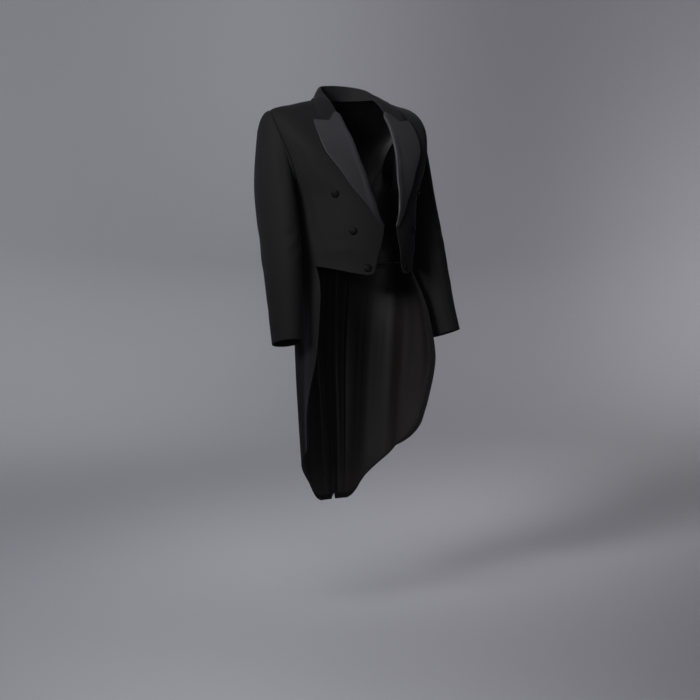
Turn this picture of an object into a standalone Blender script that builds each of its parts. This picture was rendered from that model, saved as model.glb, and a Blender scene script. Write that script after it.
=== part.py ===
"""White tie tailcoat, worn open: the empty coat keeps the round of a body.

Units: the tables are in millimetres and degrees; the scene is in metres, +Z up.
The wearer faces -Y, and the wearer's left is +X. The origin lies midway between
the two side-neck points, where the coat hangs on the shoulders.

The body of the coat is one smooth form. A place on it is (angle, level): angle 0 is
the centre front, 90 the side (the shoulder line, above the armhole) and 180 the
centre back; level counts down the rows of RINGS. Each cloth panel is the stretch of
that form between its own seams and edges, and the two halves are mirror images.
"""
import math

import bmesh
import bpy
from mathutils import Vector

MM = 0.001
CLOTH = 2.0          # body cloth, faced and interlined
SATIN = 1.6          # lapel facing
LINING = 1.0         # tail lining
SEAM_HALF = 0.25     # each piece's share of a seam's gap, between the middles of the walls
RIDGE_HALF = 0.75    # the same where two walls meet at an angle: shoulder and sleeve seams

# The form. Each level is half of a rounded ring through a side, a front and a back point.
RING_COLUMNS = ("half", "side_y", "side_z", "front_y", "front_z", "back_y", "back_z",
                "front_power", "back_power", "flare")
RINGS = (
    (72, -38, 0, -112, -66, 30, -4, 2.0, 2.2, 0),           # 0 neck seam
    (150, -22, -15, -146, -112, 70, -48, 2.2, 2.4, 0),      # 1 mid shoulder
    (222, -8, -40, -168, -165, 94, -118, 2.4, 2.6, 0),      # 2 shoulder point
    (206, -12, -135, -186, -215, 104, -180, 2.4, 2.7, 0),   # 3 mid armhole
    (170, -18, -235, -204, -262, 98, -250, 2.3, 2.7, 0),    # 4 armpit
    (163, -26, -312, -214, -318, 80, -315, 2.1, 2.7, 0),    # 5
    (162, -32, -370, -216, -372, 54, -372, 1.95, 2.6, 0),   # 6
    (162, -36, -424, -216, -430, 40, -426, 1.85, 2.5, 0),   # 7 waist seam
    (160, -42, -500, -216, -500, 45, -500, 2.1, 2.4, 52),   # 8
    (156, -46, -600, -216, -600, 48, -600, 2.8, 2.4, 73),   # 9
    (152, -46, -700, -216, -700, 46, -700, 3.0, 2.3, 100),  # 10
    (147, -46, -800, -216, -800, 40, -800, 3.0, 2.2, 135),  # 11
    (140, -46, -920, -216, -920, 35, -920, 3.0, 2.2, 135),  # 12
    (132, -46, -1032, -216, -1032, 33, -1032, 3.0, 2.2, 135),  # 13 hem
)
RING_DIP = 1.6       # how late a ring leaves the height of its side point
FLARE_POWER = 1.35   # how late the tails swing out towards their front edges

# Places on the form, as (angle, level).
NAPE = (180, 0)
SIDE_NECK = (90, 0)
GORGE_START = (55, 0.28)
NOTCH = (50.5, 0.82)
PEAK = (58.5, 1.2)
BREAK = (6.7, 5.0)
FRONT_POINT = (16, 7.1)
WAIST_CORNER = (68, 6.88)
SIDE_SEAM_FOOT = (95, 6.92)
BACK_SEAM_FOOT = (163, 7)
BLADE = (180, 1.3)
BACK_WAIST = (180, 7)

NECK_FRONT = (SIDE_NECK, (72, 0.1), GORGE_START)
ROLL_LINE = (GORGE_START, (45, 0.3), (28.5, 0.8), (19, 1.4), (13.7, 2.1), (12.7, 2.8),
             (13, 3.6), (11.3, 4.4), BREAK)
FRONT_EDGE = (BREAK, (7.2, 5.25), (9.5, 5.8), (14, 6.5), FRONT_POINT)
FORE_HEM = (FRONT_POINT, (22, 7.12), (35, 7.05), (55, 6.92), WAIST_CORNER)
LAPEL_EDGE = (PEAK, (45, 1.6), (37, 2.05), (30.5, 2.5), (26, 3.4), (18, 4.33), (10.8, 4.85),
              (8, 5.03))
BACK_SEAM = ((135, 4.1), (149, 5.1), (158.5, 6.1), BACK_SEAM_FOOT)

# The armhole is an egg-shaped hole in the form; its turn runs 0 top, 90 front, 180 armpit, 270 back.
ARM_TOP_LEVEL = 1.92
ARM_FOOT_LEVEL = 4.0
ARM_CENTRE = 92
ARM_FRONT = 21.5
ARM_BACK = 33
ARM_EGG = 0.12       # how much narrower it is above than below
ARM_STEPS = 24
FORE_ARM_STEPS = 12
SIDE_ARM_STEPS = 5

# The tails: front edge, rounded corner at the hem, and the vent with a small notch at its foot.
TAIL_EDGE = (WAIST_CORNER, (60, 7.6), (55.5, 8.1), (53.5, 8.9), (53.5, 9.5), (57, 9.95), (62, 10.45),
             (66.5, 10.95), (71, 11.35), (81, 11.65), (100, 11.9))
TAIL_CORNER = ((100, 11.9), (124, 12.2), (141, 12.5), (150, 12.78), (156, 12.93), (162, 13))
HEM_BACK_SEAM = (168.5, 13)
HEM_VENT = (177.6, 13)
VENT_EDGE = (BACK_WAIST, (179.75, 9), (179.6, 11), (179.4, 12.5), (179.1, 12.85), HEM_VENT)

# The sleeve, from the armhole to the cuff: outer and inner points, and the front-to-back spread.
SLEEVE_COLUMNS = ("outer_x", "outer_z", "inner_x", "inner_z", "mid_y", "half_depth", "tilt", "power", "egg")
SLEEVE = (
    (236, -57, 178, -248, -6, 65, 0, 2.1, 0.16),
    (241, -93, 176, -262, -8, 69, 1, 2.1, 0.15),
    (246, -147, 174, -284, -12, 74, 3, 2.1, 0.1),
    (250, -206, 172, -312, -19, 77, 6, 2.1, 0.05),
    (254, -276, 173, -352, -34, 74, 10, 2.1, 0),
    (259, -346, 178, -395, -53, 69, 14, 2.1, 0),
    (263, -410, 186, -445, -70, 63, 16, 2.1, 0),
    (267, -475, 193, -495, -86, 57, 16, 2.1, 0),
    (272, -540, 201, -552, -103, 51, 16, 2.1, 0),
    (277, -598, 212, -606, -121, 46, 16, 2.1, 0),
)
SEAT_GAP = 2.3       # from the armhole edge to the middle of the sleeve's wall
HEAD_OUT = 6.0       # the sleeve's first ring stands out this far from the armhole
HEAD_SWELL = 0.5     # and this much wider than the armhole
TOP_SLEEVE_TURNS = (-105, 105)
UNDER_SLEEVE_TURNS = (105, 255)

# The collar, from the gorge round to the nape: the fold's place, and the fall's outer edge.
COLLAR_COLUMNS = ("angle", "fold_x", "fold_y", "fold_z", "edge_angle", "edge_level", "on_form", "notch")
COLLAR = (
    (55, 77, -84, -31, 56.5, 1.0, 1.0, 1.0),
    (63, 77.5, -70, -15, 61, 0.9, 0.7, 0.3),
    (74, 77.5, -52, -1, 71, 0.68, 0.3, 0.0),
    (90, 76, -34, 9, 90, 0.42, 0.0, 0.0),
    (115, 69, -8, 21, 115, 0.3, 0.0, 0.0),
    (140, 51, 20, 28, 140, 0.28, 0.0, 0.0),
    (160, 27, 32, 31, 160, 0.27, 0.0, 0.0),
    (180, 0, 36, 32, 180, 0.27, 0.0, 0.0),
)
FOLD_WIDTH = 4.0     # between stand and fall at the top of the collar
FALL_BULGE = 2.0
COLLAR_CLEAR = 2.2   # between the fall and the cloth that it lies on
FALL_STEPS = 4
STAND_CLEAR = 1.1    # between the stand and the neck seam that it rises from
STAND_SUNK = 3.0     # how far the stand's foot reaches below the neck seam

# Grid lines of the panels, so that two edges of one seam share their points.
RAY_STEPS = 6            # along the shoulder seam, the side seam and the back seam to the waist
TAIL_STEPS = 11
SIDE_COLUMNS = 5
SKIRT_FRONT_COLUMNS = 3
NECK_FRONT_STEPS = 3
NECK_BACK_STEPS = 6
ROLL_STEPS = 9
FRONT_EDGE_STEPS = 3
FORE_HEM_STEPS = 6
LAPEL_STEPS = 12
GORGE_STEPS = 2          # and as many again from the notch to the peak
TAIL_CORNER_STEPS = 6
TAIL_CORNER_TO_SEAM = 2
BACK_FADE = 8            # how closely the back's columns keep to its curved neck and hem
SKIRT_FADE = 3

BUTTON_RADIUS = 10.0
BUTTON_THICKNESS = 4.0
BUTTON_BEVEL = 1.0
BUTTON_SIDES = 20
BUTTON_COLUMNS = ("name", "angle", "level", "clear")     # clear: how far it stands off the form
BUTTONS = (
    ("top", 43, 3.75, 0.7),
    ("middle", 34, 5.2, 0.3),
    ("bottom", 22.5, 6.85, 2.7),
    ("back", 163.5, 6.62, 2.75),
)

TAIL_TURNED_IN = 13.0    # cloth turned in round the lining, at the tail's front edge
VENT_TURNED_IN = 11.0
HEM_TURNED_IN = 15.0
WAIST_TURNED_IN = 5.0
LINING_CLEAR = 2.2       # between the lining and the cloth that it lies in
LAPEL_CLEAR = 1.0        # between the lapel and the forepart under it
LEAST_STEP = 0.8         # between two points of the lining where its rows crowd together

BLACK_CLOTH = (0.018, 0.018, 0.021, 1)
BLACK_SATIN = (0.035, 0.037, 0.045, 1)
BLACK_LINING = (0.012, 0.011, 0.012, 1)
BLACK_HORN = (0.02, 0.02, 0.022, 1)


# ---------------------------------------------------------------- curves and the form

def spline(before, start, end, after, t):
    """One Catmull-Rom stretch, for rows of numbers."""
    return [0.5 * (2 * b + (c - a) * t + (2 * a - 5 * b + 4 * c - d) * t * t
                   + (3 * b - a - 3 * c + d) * t ** 3)
            for a, b, c, d in zip(before, start, end, after)]


def between(start, end, share):
    return tuple(a + (b - a) * share for a, b in zip(start, end))


def row_at(rows, place):
    """The row at a fractional index, smooth through all the rows."""
    place = min(max(place, 0), len(rows) - 1)
    index = min(int(place), len(rows) - 2)
    start, end = rows[index], rows[index + 1]
    before = rows[index - 1] if index else [2 * a - b for a, b in zip(start, end)]
    after = rows[index + 2] if index + 2 < len(rows) else [2 * b - a for a, b in zip(start, end)]
    return spline(before, start, end, after, place - index)


def form(angle, level):
    """A point of the form, in millimetres, on the wearer's left."""
    ring = dict(zip(RING_COLUMNS, row_at(RINGS, level)))
    turn = math.radians(angle)
    sine, cosine = math.sin(turn), math.cos(turn)
    to_front = cosine > 0
    power = ring["front_power"] if to_front else ring["back_power"]
    reach = (abs(sine) ** power + abs(cosine) ** power) ** (-1 / power)
    across, along = reach * sine, reach * abs(cosine)
    end_y = ring["front_y"] if to_front else ring["back_y"]
    end_z = ring["front_z"] if to_front else ring["back_z"]
    swing = ring["flare"] * along ** FLARE_POWER if to_front else 0
    return Vector((ring["half"] * across + swing,
                   ring["side_y"] + (end_y - ring["side_y"]) * along,
                   ring["side_z"] + (end_z - ring["side_z"]) * along ** RING_DIP))


def normal(angle, level):
    """The form's outward direction."""
    level = min(max(level, 0.01), len(RINGS) - 1.01)
    round_it = form(angle + 0.5, level) - form(angle - 0.5, level)
    down_it = form(angle, level + 0.01) - form(angle, level - 0.01)
    return down_it.cross(round_it).normalized()


def lifted(place, height):
    return form(*place) + normal(*place) * height


def trace(places, steps):
    """Places at even distances along the smooth curve through the given ones."""
    fine = 12 * (len(places) - 1)
    dense = [row_at(places, (len(places) - 1) * i / fine) for i in range(fine + 1)]
    length = [0.0]
    for a, b in zip(dense, dense[1:]):
        length.append(length[-1] + (form(*b) - form(*a)).length)
    spots = []
    for step in range(steps + 1):
        target = length[-1] * step / steps
        index = max(i for i in range(fine) if length[i] <= target or i == 0)
        share = (target - length[index]) / (length[index + 1] - length[index])
        spots.append(between(dense[index], dense[index + 1], share))
    return spots


def chain(*legs):
    """Joins legs that share their end places."""
    spots = list(legs[0])
    for leg in legs[1:]:
        spots += leg[1:]
    return spots


def armhole(turn):
    turn_rad = math.radians(turn)
    side = math.sin(turn_rad)
    spread = (ARM_FRONT if side > 0 else ARM_BACK) * (1 - ARM_EGG * math.cos(turn_rad))
    middle = (ARM_TOP_LEVEL + ARM_FOOT_LEVEL) / 2
    half = (ARM_FOOT_LEVEL - ARM_TOP_LEVEL) / 2
    return (ARM_CENTRE - spread * side, middle - half * math.cos(turn_rad))


def halved(places):
    """The same line of places with one more half-way along each step."""
    return chain(*([a, between(a, b, 0.5), b] for a, b in zip(places, places[1:])))


def arm_leg(first_step, last_step):
    direction = 1 if last_step > first_step else -1
    return [armhole(360 / ARM_STEPS * s) for s in range(first_step, last_step + direction, direction)]


def patch(top, bottom, left, right, fade=1):
    """A grid of places between four edges; left and right run downwards.

    Each row is straight from left to right, bent like the top and bottom edges near them.
    A higher fade keeps the two bends closer to their own edges.
    """
    columns, rows = len(top) - 1, len(left) - 1
    grid = []
    for j in range(rows + 1):
        v = j / rows
        line = []
        for i in range(columns + 1):
            u = i / columns
            row = between(left[j], right[j], u)
            top_row = between(top[0], top[-1], u)
            bottom_row = between(bottom[0], bottom[-1], u)
            near_top, near_bottom = (1 - v) ** fade, v ** fade
            line.append(tuple(row[k] + near_top * (top[i][k] - top_row[k])
                              + near_bottom * (bottom[i][k] - bottom_row[k]) for k in (0, 1)))
        grid.append(line)
    return grid


# ---------------------------------------------------------------- building solids

def material(name, colour, roughness):
    made = bpy.data.materials.new(name)
    made.use_nodes = True
    shader = made.node_tree.nodes["Principled BSDF"]
    shader.inputs["Base Color"].default_value = colour
    shader.inputs["Roughness"].default_value = roughness
    shader.inputs["Metallic"].default_value = 0.0
    return made


def trimmed(grid, gaps):
    """Draws a grid's edges in along its own lines; gaps are for the top, bottom, left and right."""
    top, bottom, left, right = gaps
    lines = [list(line) for line in grid]
    for line in lines:
        first = (line[1] - line[0]).normalized() * left
        last = (line[-2] - line[-1]).normalized() * right
        line[0] = line[0] + first
        line[-1] = line[-1] + last
    for i in range(len(lines[0])):
        first = (lines[1][i] - lines[0][i]).normalized() * top
        last = (lines[-2][i] - lines[-1][i]).normalized() * bottom
        lines[0][i] = lines[0][i] + first
        lines[-1][i] = lines[-1][i] + last
    return lines


def sheet(name, grid, thickness, look, collection, side=1, gaps=(SEAM_HALF,) * 4):
    """A cloth piece: an open grid of points in millimetres, given its thickness both ways."""
    lines = trimmed(grid, gaps)
    mesh = bpy.data.meshes.new(name)
    work = bmesh.new()
    corners = [[work.verts.new((p.x * side * MM, p.y * MM, p.z * MM)) for p in line] for line in lines]
    for upper, lower in zip(corners, corners[1:]):
        for i in range(len(upper) - 1):
            if side > 0:
                work.faces.new((upper[i], lower[i], lower[i + 1], upper[i + 1]))
            else:
                work.faces.new((upper[i], upper[i + 1], lower[i + 1], lower[i]))
    work.to_mesh(mesh)
    work.free()
    made = bpy.data.objects.new(name, mesh)
    mesh.materials.append(look)
    mesh.shade_smooth()
    collection.objects.link(made)
    wall = made.modifiers.new("Thickness", "SOLIDIFY")
    wall.thickness = thickness * MM
    wall.offset = 0
    return made


def on_form(grid, height=0.0):
    return [[lifted(place, height) for place in line] for line in grid]


# ---------------------------------------------------------------- panels

SPLIT_STEP = FORE_ARM_STEPS + SIDE_ARM_STEPS     # where the back seam leaves the armhole


def forepart_places():
    """Its rows run like rays from the outer edges in to the armhole and the side seam."""
    top = trace((SIDE_NECK, armhole(0)), RAY_STEPS)
    bottom = trace((SIDE_SEAM_FOOT, armhole(180)), RAY_STEPS)
    left = chain(trace(NECK_FRONT, NECK_FRONT_STEPS), trace(ROLL_LINE, ROLL_STEPS),
                 trace(FRONT_EDGE, FRONT_EDGE_STEPS), trace(FORE_HEM, FORE_HEM_STEPS),
                 trace((WAIST_CORNER, SIDE_SEAM_FOOT), SKIRT_FRONT_COLUMNS))
    right = halved(arm_leg(0, FORE_ARM_STEPS))
    return patch(top, bottom, left, right)


def side_body_places():
    top = arm_leg(FORE_ARM_STEPS, SPLIT_STEP)
    left = trace((armhole(180), SIDE_SEAM_FOOT), RAY_STEPS)
    right = trace((top[-1],) + BACK_SEAM, RAY_STEPS)
    bottom = trace((SIDE_SEAM_FOOT, BACK_SEAM_FOOT), SIDE_COLUMNS)
    return patch(top, bottom, left, right)


def back_places():
    arm = arm_leg(ARM_STEPS, SPLIT_STEP)
    top = trace((armhole(0), SIDE_NECK), RAY_STEPS)
    left = chain(arm, trace((arm[-1],) + BACK_SEAM, RAY_STEPS),
                 trace((BACK_SEAM_FOOT, HEM_BACK_SEAM), TAIL_STEPS))
    right = chain(trace((SIDE_NECK, NAPE), NECK_BACK_STEPS),
                  trace((NAPE, BLADE), len(arm) - 1 - NECK_BACK_STEPS),
                  trace((BLADE, BACK_WAIST), RAY_STEPS), trace(VENT_EDGE, TAIL_STEPS))
    bottom = trace((HEM_BACK_SEAM, HEM_VENT), RAY_STEPS)
    return patch(top, bottom, left, right, BACK_FADE)


def skirt_places():
    top = chain(trace((WAIST_CORNER, SIDE_SEAM_FOOT), SKIRT_FRONT_COLUMNS),
                trace((SIDE_SEAM_FOOT, BACK_SEAM_FOOT), SIDE_COLUMNS))
    left = trace(TAIL_EDGE, TAIL_STEPS)
    right = trace((BACK_SEAM_FOOT, HEM_BACK_SEAM), TAIL_STEPS)
    bottom = chain(trace(TAIL_CORNER, TAIL_CORNER_STEPS),
                   trace((TAIL_CORNER[-1], HEM_BACK_SEAM), TAIL_CORNER_TO_SEAM))
    return patch(top, bottom, left, right, SKIRT_FADE)


def lapel_places():
    top = chain(trace((GORGE_START, NOTCH), GORGE_STEPS), trace((NOTCH, PEAK), GORGE_STEPS))
    left = trace(ROLL_LINE, LAPEL_STEPS)
    right = trace(LAPEL_EDGE, LAPEL_STEPS)
    bottom = trace((BREAK, LAPEL_EDGE[-1]), 2 * GORGE_STEPS)
    return patch(top, bottom, left, right)


def drawn_in(line, first, last):
    """A row of points with its ends moved in along the row; the other points keep their places."""
    length = [0.0]
    for a, b in zip(line, line[1:]):
        length.append(length[-1] + (b - a).length)
    count = len(line) - 1
    spots = []
    for i, here in enumerate(length):
        nearest = first + LEAST_STEP * i
        farthest = length[-1] - last - LEAST_STEP * (count - i)
        target = min(max(here, nearest), farthest)
        index = max(k for k in range(count) if length[k] <= target)
        share = (target - length[index]) / (length[index + 1] - length[index])
        spots.append(line[index].lerp(line[index + 1], share))
    return spots


def lining_grid():
    """The tail's own rows, front edge to vent, dropped inside the cloth and drawn in all round."""
    skirt = skirt_places()
    back = back_places()[-TAIL_STEPS - 1:]
    drop = -(CLOTH / 2 + LINING_CLEAR + LINING / 2)
    rows = [on_form([skirt_row + back_row[1:]], drop)[0] for skirt_row, back_row in zip(skirt, back)]
    rows = [drawn_in(row, TAIL_TURNED_IN, VENT_TURNED_IN) for row in rows]
    columns = [list(column) for column in zip(*rows)]
    columns = [drawn_in(column, WAIST_TURNED_IN, HEM_TURNED_IN) for column in columns]
    return [list(row) for row in zip(*columns)]


# ---------------------------------------------------------------- sleeves and collar

def sleeve_ring(row, turn):
    """A point of one sleeve ring; turn 0 is the outer side, 90 the front."""
    ring = dict(zip(SLEEVE_COLUMNS, row))
    angle = math.radians(turn)
    cosine, sine = math.cos(angle), math.sin(angle)
    reach = (abs(cosine) ** ring["power"] + abs(sine) ** ring["power"]) ** (-1 / ring["power"])
    out = reach * cosine
    forward = reach * sine * ring["half_depth"] * (1 - ring["egg"] * out)
    tilt = math.radians(ring["tilt"])
    return Vector(((ring["outer_x"] + ring["inner_x"]) / 2 + (ring["outer_x"] - ring["inner_x"]) / 2 * out,
                   ring["mid_y"] - forward * math.cos(tilt),
                   (ring["outer_z"] + ring["inner_z"]) / 2 + (ring["outer_z"] - ring["inner_z"]) / 2 * out
                   + forward * math.sin(tilt)))


def sleeve_grid(turns):
    step = 360 / ARM_STEPS
    count = round((turns[1] - turns[0]) / step)
    spots = [turns[1] - step * i for i in range(count + 1)]
    edge = [form(*armhole(turn)) for turn in spots]
    middle = form(*armhole(0)).lerp(form(*armhole(180)), 0.5)
    seat = [p + (middle - p).normalized() * SEAT_GAP for p in edge]
    head = [p - (middle - p).normalized() * HEAD_SWELL + Vector((HEAD_OUT, 0, 0)) for p in edge]
    return [seat, head] + [[sleeve_ring(row, turn) for turn in spots] for row in SLEEVE]


def collar_row(angle):
    """The collar table's values where the neck seam passes the given angle."""
    index = max(i for i in range(len(COLLAR) - 1) if COLLAR[i][0] <= angle)
    share = (angle - COLLAR[index][0]) / (COLLAR[index + 1][0] - COLLAR[index][0])
    return dict(zip(COLLAR_COLUMNS, row_at(COLLAR, index + share)))


def collar_section(before, seat, after):
    """The collar's section at one place of the neck seam: foot, stand, fold, fall and outer edge."""
    row = collar_row(seat[0])
    edge = (row["edge_angle"], row["edge_level"])
    foot = form(*seat)
    up = normal(*seat)
    inward = up.cross(form(*after) - form(*before)).normalized()
    fold = Vector((row["fold_x"], row["fold_y"], row["fold_z"]))
    rise = CLOTH + COLLAR_CLEAR
    fall_edge = lifted(edge, rise)
    outward = (fall_edge - fold) * Vector((1, 1, 0))
    outward.normalize()
    inner_fold = fold - outward * FOLD_WIDTH / 2
    outer_fold = fold + outward * FOLD_WIDTH / 2
    foot_in = foot + inward * (CLOTH / 2 + STAND_CLEAR) - up * STAND_SUNK
    stand = foot_in + up * (STAND_SUNK + CLOTH / 2)
    points = [foot_in, stand, stand.lerp(inner_fold, 0.5), inner_fold]
    for i in range(FALL_STEPS + 1):
        t = i / FALL_STEPS
        bow = (outward + Vector((0, 0, 1))) * FALL_BULGE * 4 * t * (1 - t)
        free = outer_fold.lerp(fall_edge, t) + bow
        straight = between(seat, edge, t)
        by_notch = between(seat, NOTCH, 2 * t) if t < 0.5 else between(NOTCH, edge, 2 * t - 1)
        lying = lifted(between(straight, by_notch, row["notch"]), rise)
        points.append(free.lerp(lying, row["on_form"] + (1 - row["on_form"]) * t * t))
    return points


def collar_grid():
    neck = chain(trace(NECK_FRONT, NECK_FRONT_STEPS)[::-1], trace((SIDE_NECK, NAPE), NECK_BACK_STEPS))
    half = [collar_section(neck[max(i - 1, 0)], seat, neck[min(i + 1, len(neck) - 1)])
            for i, seat in enumerate(neck)]
    other = [[Vector((-p.x, p.y, p.z)) for p in line] for line in half[-2::-1]]
    return half + other


# ---------------------------------------------------------------- buttons

def button(name, place, rise, look, collection, side):
    """A plain round button lying on the cloth."""
    up = normal(*place)
    centre = lifted(place, rise + BUTTON_THICKNESS / 2)
    bpy.ops.mesh.primitive_cylinder_add(vertices=BUTTON_SIDES, radius=BUTTON_RADIUS * MM,
                                        depth=BUTTON_THICKNESS * MM)
    made = bpy.context.object
    made.name = name
    made.data.name = name
    made.data.materials.append(look)
    made.location = Vector((centre.x * side, centre.y, centre.z)) * MM
    made.rotation_mode = "QUATERNION"
    made.rotation_quaternion = Vector((up.x * side, up.y, up.z)).to_track_quat("Z", "Y")
    bevel = made.modifiers.new("Rim", "BEVEL")
    bevel.width = BUTTON_BEVEL * MM
    bevel.segments = 1
    bevel.limit_method = "ANGLE"
    for user in list(made.users_collection):
        user.objects.unlink(made)
    collection.objects.link(made)


# ---------------------------------------------------------------- the coat

def build():
    for old in list(bpy.data.objects):
        bpy.data.objects.remove(old, do_unlink=True)
    coat = bpy.data.collections.new("Tailcoat")
    bpy.context.scene.collection.children.link(coat)
    cloth = material("black_wool", BLACK_CLOTH, 0.9)
    satin = material("black_satin", BLACK_SATIN, 0.4)
    lining = material("black_lining", BLACK_LINING, 0.5)
    horn = material("black_button", BLACK_HORN, 0.5)

    flat_seams = (SEAM_HALF,) * 4
    shoulder_seam = (RIDGE_HALF,) + (SEAM_HALF,) * 3
    sleeve_seams = (0, 0, RIDGE_HALF, RIDGE_HALF)
    panels = (("forepart", forepart_places(), shoulder_seam), ("side_body", side_body_places(), flat_seams),
              ("back", back_places(), shoulder_seam), ("skirt", skirt_places(), flat_seams))
    for side, hand in ((-1, "right"), (1, "left")):
        for name, places, gaps in panels:
            sheet(f"{name}_{hand}", on_form(places), CLOTH, cloth, coat, side, gaps)
        for name, turns in (("top_sleeve", TOP_SLEEVE_TURNS), ("under_sleeve", UNDER_SLEEVE_TURNS)):
            sheet(f"{name}_{hand}", sleeve_grid(turns), CLOTH, cloth, coat, side, sleeve_seams)
        lapel_rise = (CLOTH + SATIN) / 2 + LAPEL_CLEAR
        sheet(f"lapel_{hand}", on_form(lapel_places(), lapel_rise), SATIN, satin, coat, side)
        sheet(f"tail_lining_{hand}", lining_grid(), LINING, lining, coat, side)
        for row in BUTTONS:
            spot = dict(zip(BUTTON_COLUMNS, row))
            button(f"button_{spot['name']}_{hand}", (spot["angle"], spot["level"]),
                   CLOTH / 2 + spot["clear"], horn, coat, side)
    sheet("collar", collar_grid(), CLOTH, cloth, coat)


build()
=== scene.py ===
"""White tie tailcoat, worn open: the looks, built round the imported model.

The coat's cloth is made here again from the same tables as the CAD part, at a finer
grid, with pressed seams, soft creases, a rolled lapel and turned edges. Tables are in
millimetres and degrees; meshes are in metres, +Z up. The wearer faces -Y and the
wearer's left is +X. A place on the coat's body is (angle, level), as in the CAD part:
angle 0 is the centre front, 90 the side, 180 the centre back; level counts down RINGS.
"""
import math

import bpy
import numpy as np
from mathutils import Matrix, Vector


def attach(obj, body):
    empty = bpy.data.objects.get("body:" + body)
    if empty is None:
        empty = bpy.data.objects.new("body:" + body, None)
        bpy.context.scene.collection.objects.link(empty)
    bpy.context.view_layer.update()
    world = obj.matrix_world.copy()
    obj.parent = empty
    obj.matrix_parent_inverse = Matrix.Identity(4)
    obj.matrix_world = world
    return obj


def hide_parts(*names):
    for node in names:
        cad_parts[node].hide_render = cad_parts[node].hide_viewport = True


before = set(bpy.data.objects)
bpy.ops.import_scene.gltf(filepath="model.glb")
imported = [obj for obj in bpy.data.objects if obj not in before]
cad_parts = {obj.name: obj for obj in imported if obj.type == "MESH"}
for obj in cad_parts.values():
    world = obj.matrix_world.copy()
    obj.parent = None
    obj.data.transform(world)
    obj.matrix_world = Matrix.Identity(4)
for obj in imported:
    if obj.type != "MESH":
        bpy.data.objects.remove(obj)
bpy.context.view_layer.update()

MM = 0.001
HANDS = ((-1, "right"), (1, "left"))

# ---- the coat's tables

# half, side_y, side_z, front_y, front_z, back_y, back_z, front_power, back_power, flare
RINGS = np.array((
    (72, -38, 0, -112, -66, 30, -4, 2.0, 2.2, 0),           # 0 neck seam
    (150, -22, -15, -146, -112, 70, -48, 2.2, 2.4, 0),      # 1 mid shoulder
    (222, -8, -40, -168, -165, 94, -118, 2.4, 2.6, 0),      # 2 shoulder point
    (206, -12, -135, -186, -215, 104, -180, 2.4, 2.7, 0),   # 3 mid armhole
    (170, -18, -235, -204, -262, 98, -250, 2.3, 2.7, 0),    # 4 armpit
    (163, -26, -312, -214, -318, 80, -315, 2.1, 2.7, 0),    # 5
    (162, -32, -370, -216, -372, 54, -372, 1.95, 2.6, 0),   # 6
    (162, -36, -424, -216, -430, 40, -426, 1.85, 2.5, 0),   # 7 waist seam
    (160, -42, -500, -216, -500, 45, -500, 2.1, 2.4, 52),   # 8
    (156, -46, -600, -216, -600, 48, -600, 2.8, 2.4, 73),   # 9
    (152, -46, -700, -216, -700, 46, -700, 3.0, 2.3, 100),  # 10
    (147, -46, -800, -216, -800, 40, -800, 3.0, 2.2, 135),  # 11
    (140, -46, -920, -216, -920, 35, -920, 3.0, 2.2, 135),  # 12
    (132, -46, -1032, -216, -1032, 33, -1032, 3.0, 2.2, 135),  # 13 hem
), float)
RING_DIP = 1.6
FLARE_POWER = 1.35
LAST_LEVEL = len(RINGS) - 1

NAPE = (180, 0)
SIDE_NECK = (90, 0)
GORGE_START = (55, 0.28)
NOTCH = (50.5, 0.82)
PEAK = (58.5, 1.2)
BREAK = (6.7, 5.0)
FRONT_POINT = (16, 7.1)
WAIST_CORNER = (68, 6.88)
SIDE_SEAM_FOOT = (95, 6.92)
BACK_SEAM_FOOT = (163, 7)
BLADE = (180, 1.3)
BACK_WAIST = (180, 7)
HEM_BACK_SEAM = (168.5, 13)
HEM_VENT = (177.6, 13)

NECK_FRONT = (SIDE_NECK, (72, 0.1), GORGE_START)
ROLL_LINE = (GORGE_START, (45, 0.3), (28.5, 0.8), (19, 1.4), (13.7, 2.1), (12.7, 2.8),
             (13, 3.6), (11.3, 4.4), BREAK)
FRONT_EDGE = (BREAK, (7.2, 5.25), (9.5, 5.8), (14, 6.5), FRONT_POINT)
FORE_HEM = (FRONT_POINT, (22, 7.12), (35, 7.05), (55, 6.92), WAIST_CORNER)
LAPEL_EDGE = (PEAK, (45, 1.6), (37, 2.05), (30.5, 2.5), (26, 3.4), (18, 4.33),
              (10.8, 4.85), (8, 5.03))
BACK_SEAM = ((135, 4.1), (149, 5.1), (158.5, 6.1), BACK_SEAM_FOOT)
VENT_EDGE = (BACK_WAIST, (179.75, 9), (179.6, 11), (179.4, 12.5), (179.1, 12.85), HEM_VENT)
# The right back goes on past the middle, under the left one, so that the vent stays closed.
LAP_EDGE = (BACK_WAIST, (182.6, 7.3), (184.4, 7.75), (184.9, 9), (184.6, 11), (184.2, 12.4),
            (182.8, 12.72), (179.6, 12.88), HEM_VENT)
TAIL_EDGE = (WAIST_CORNER, (60, 7.6), (55.5, 8.1), (53.5, 8.9), (53.5, 9.5), (57, 9.95),
             (62, 10.45), (66.5, 10.95), (71, 11.35), (81, 11.65), (100, 11.9))
TAIL_CORNER = ((100, 11.9), (124, 12.2), (141, 12.5), (150, 12.78), (156, 12.93), (162, 13))

ARM_TOP_LEVEL = 1.92
ARM_FOOT_LEVEL = 4.0
ARM_CENTRE = 92
ARM_FRONT = 21.5
ARM_BACK = 33
ARM_EGG = 0.12
ARM_STEPS = 24
FORE_ARM_STEPS = 12
SIDE_ARM_STEPS = 5
SPLIT_STEP = FORE_ARM_STEPS + SIDE_ARM_STEPS

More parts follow.
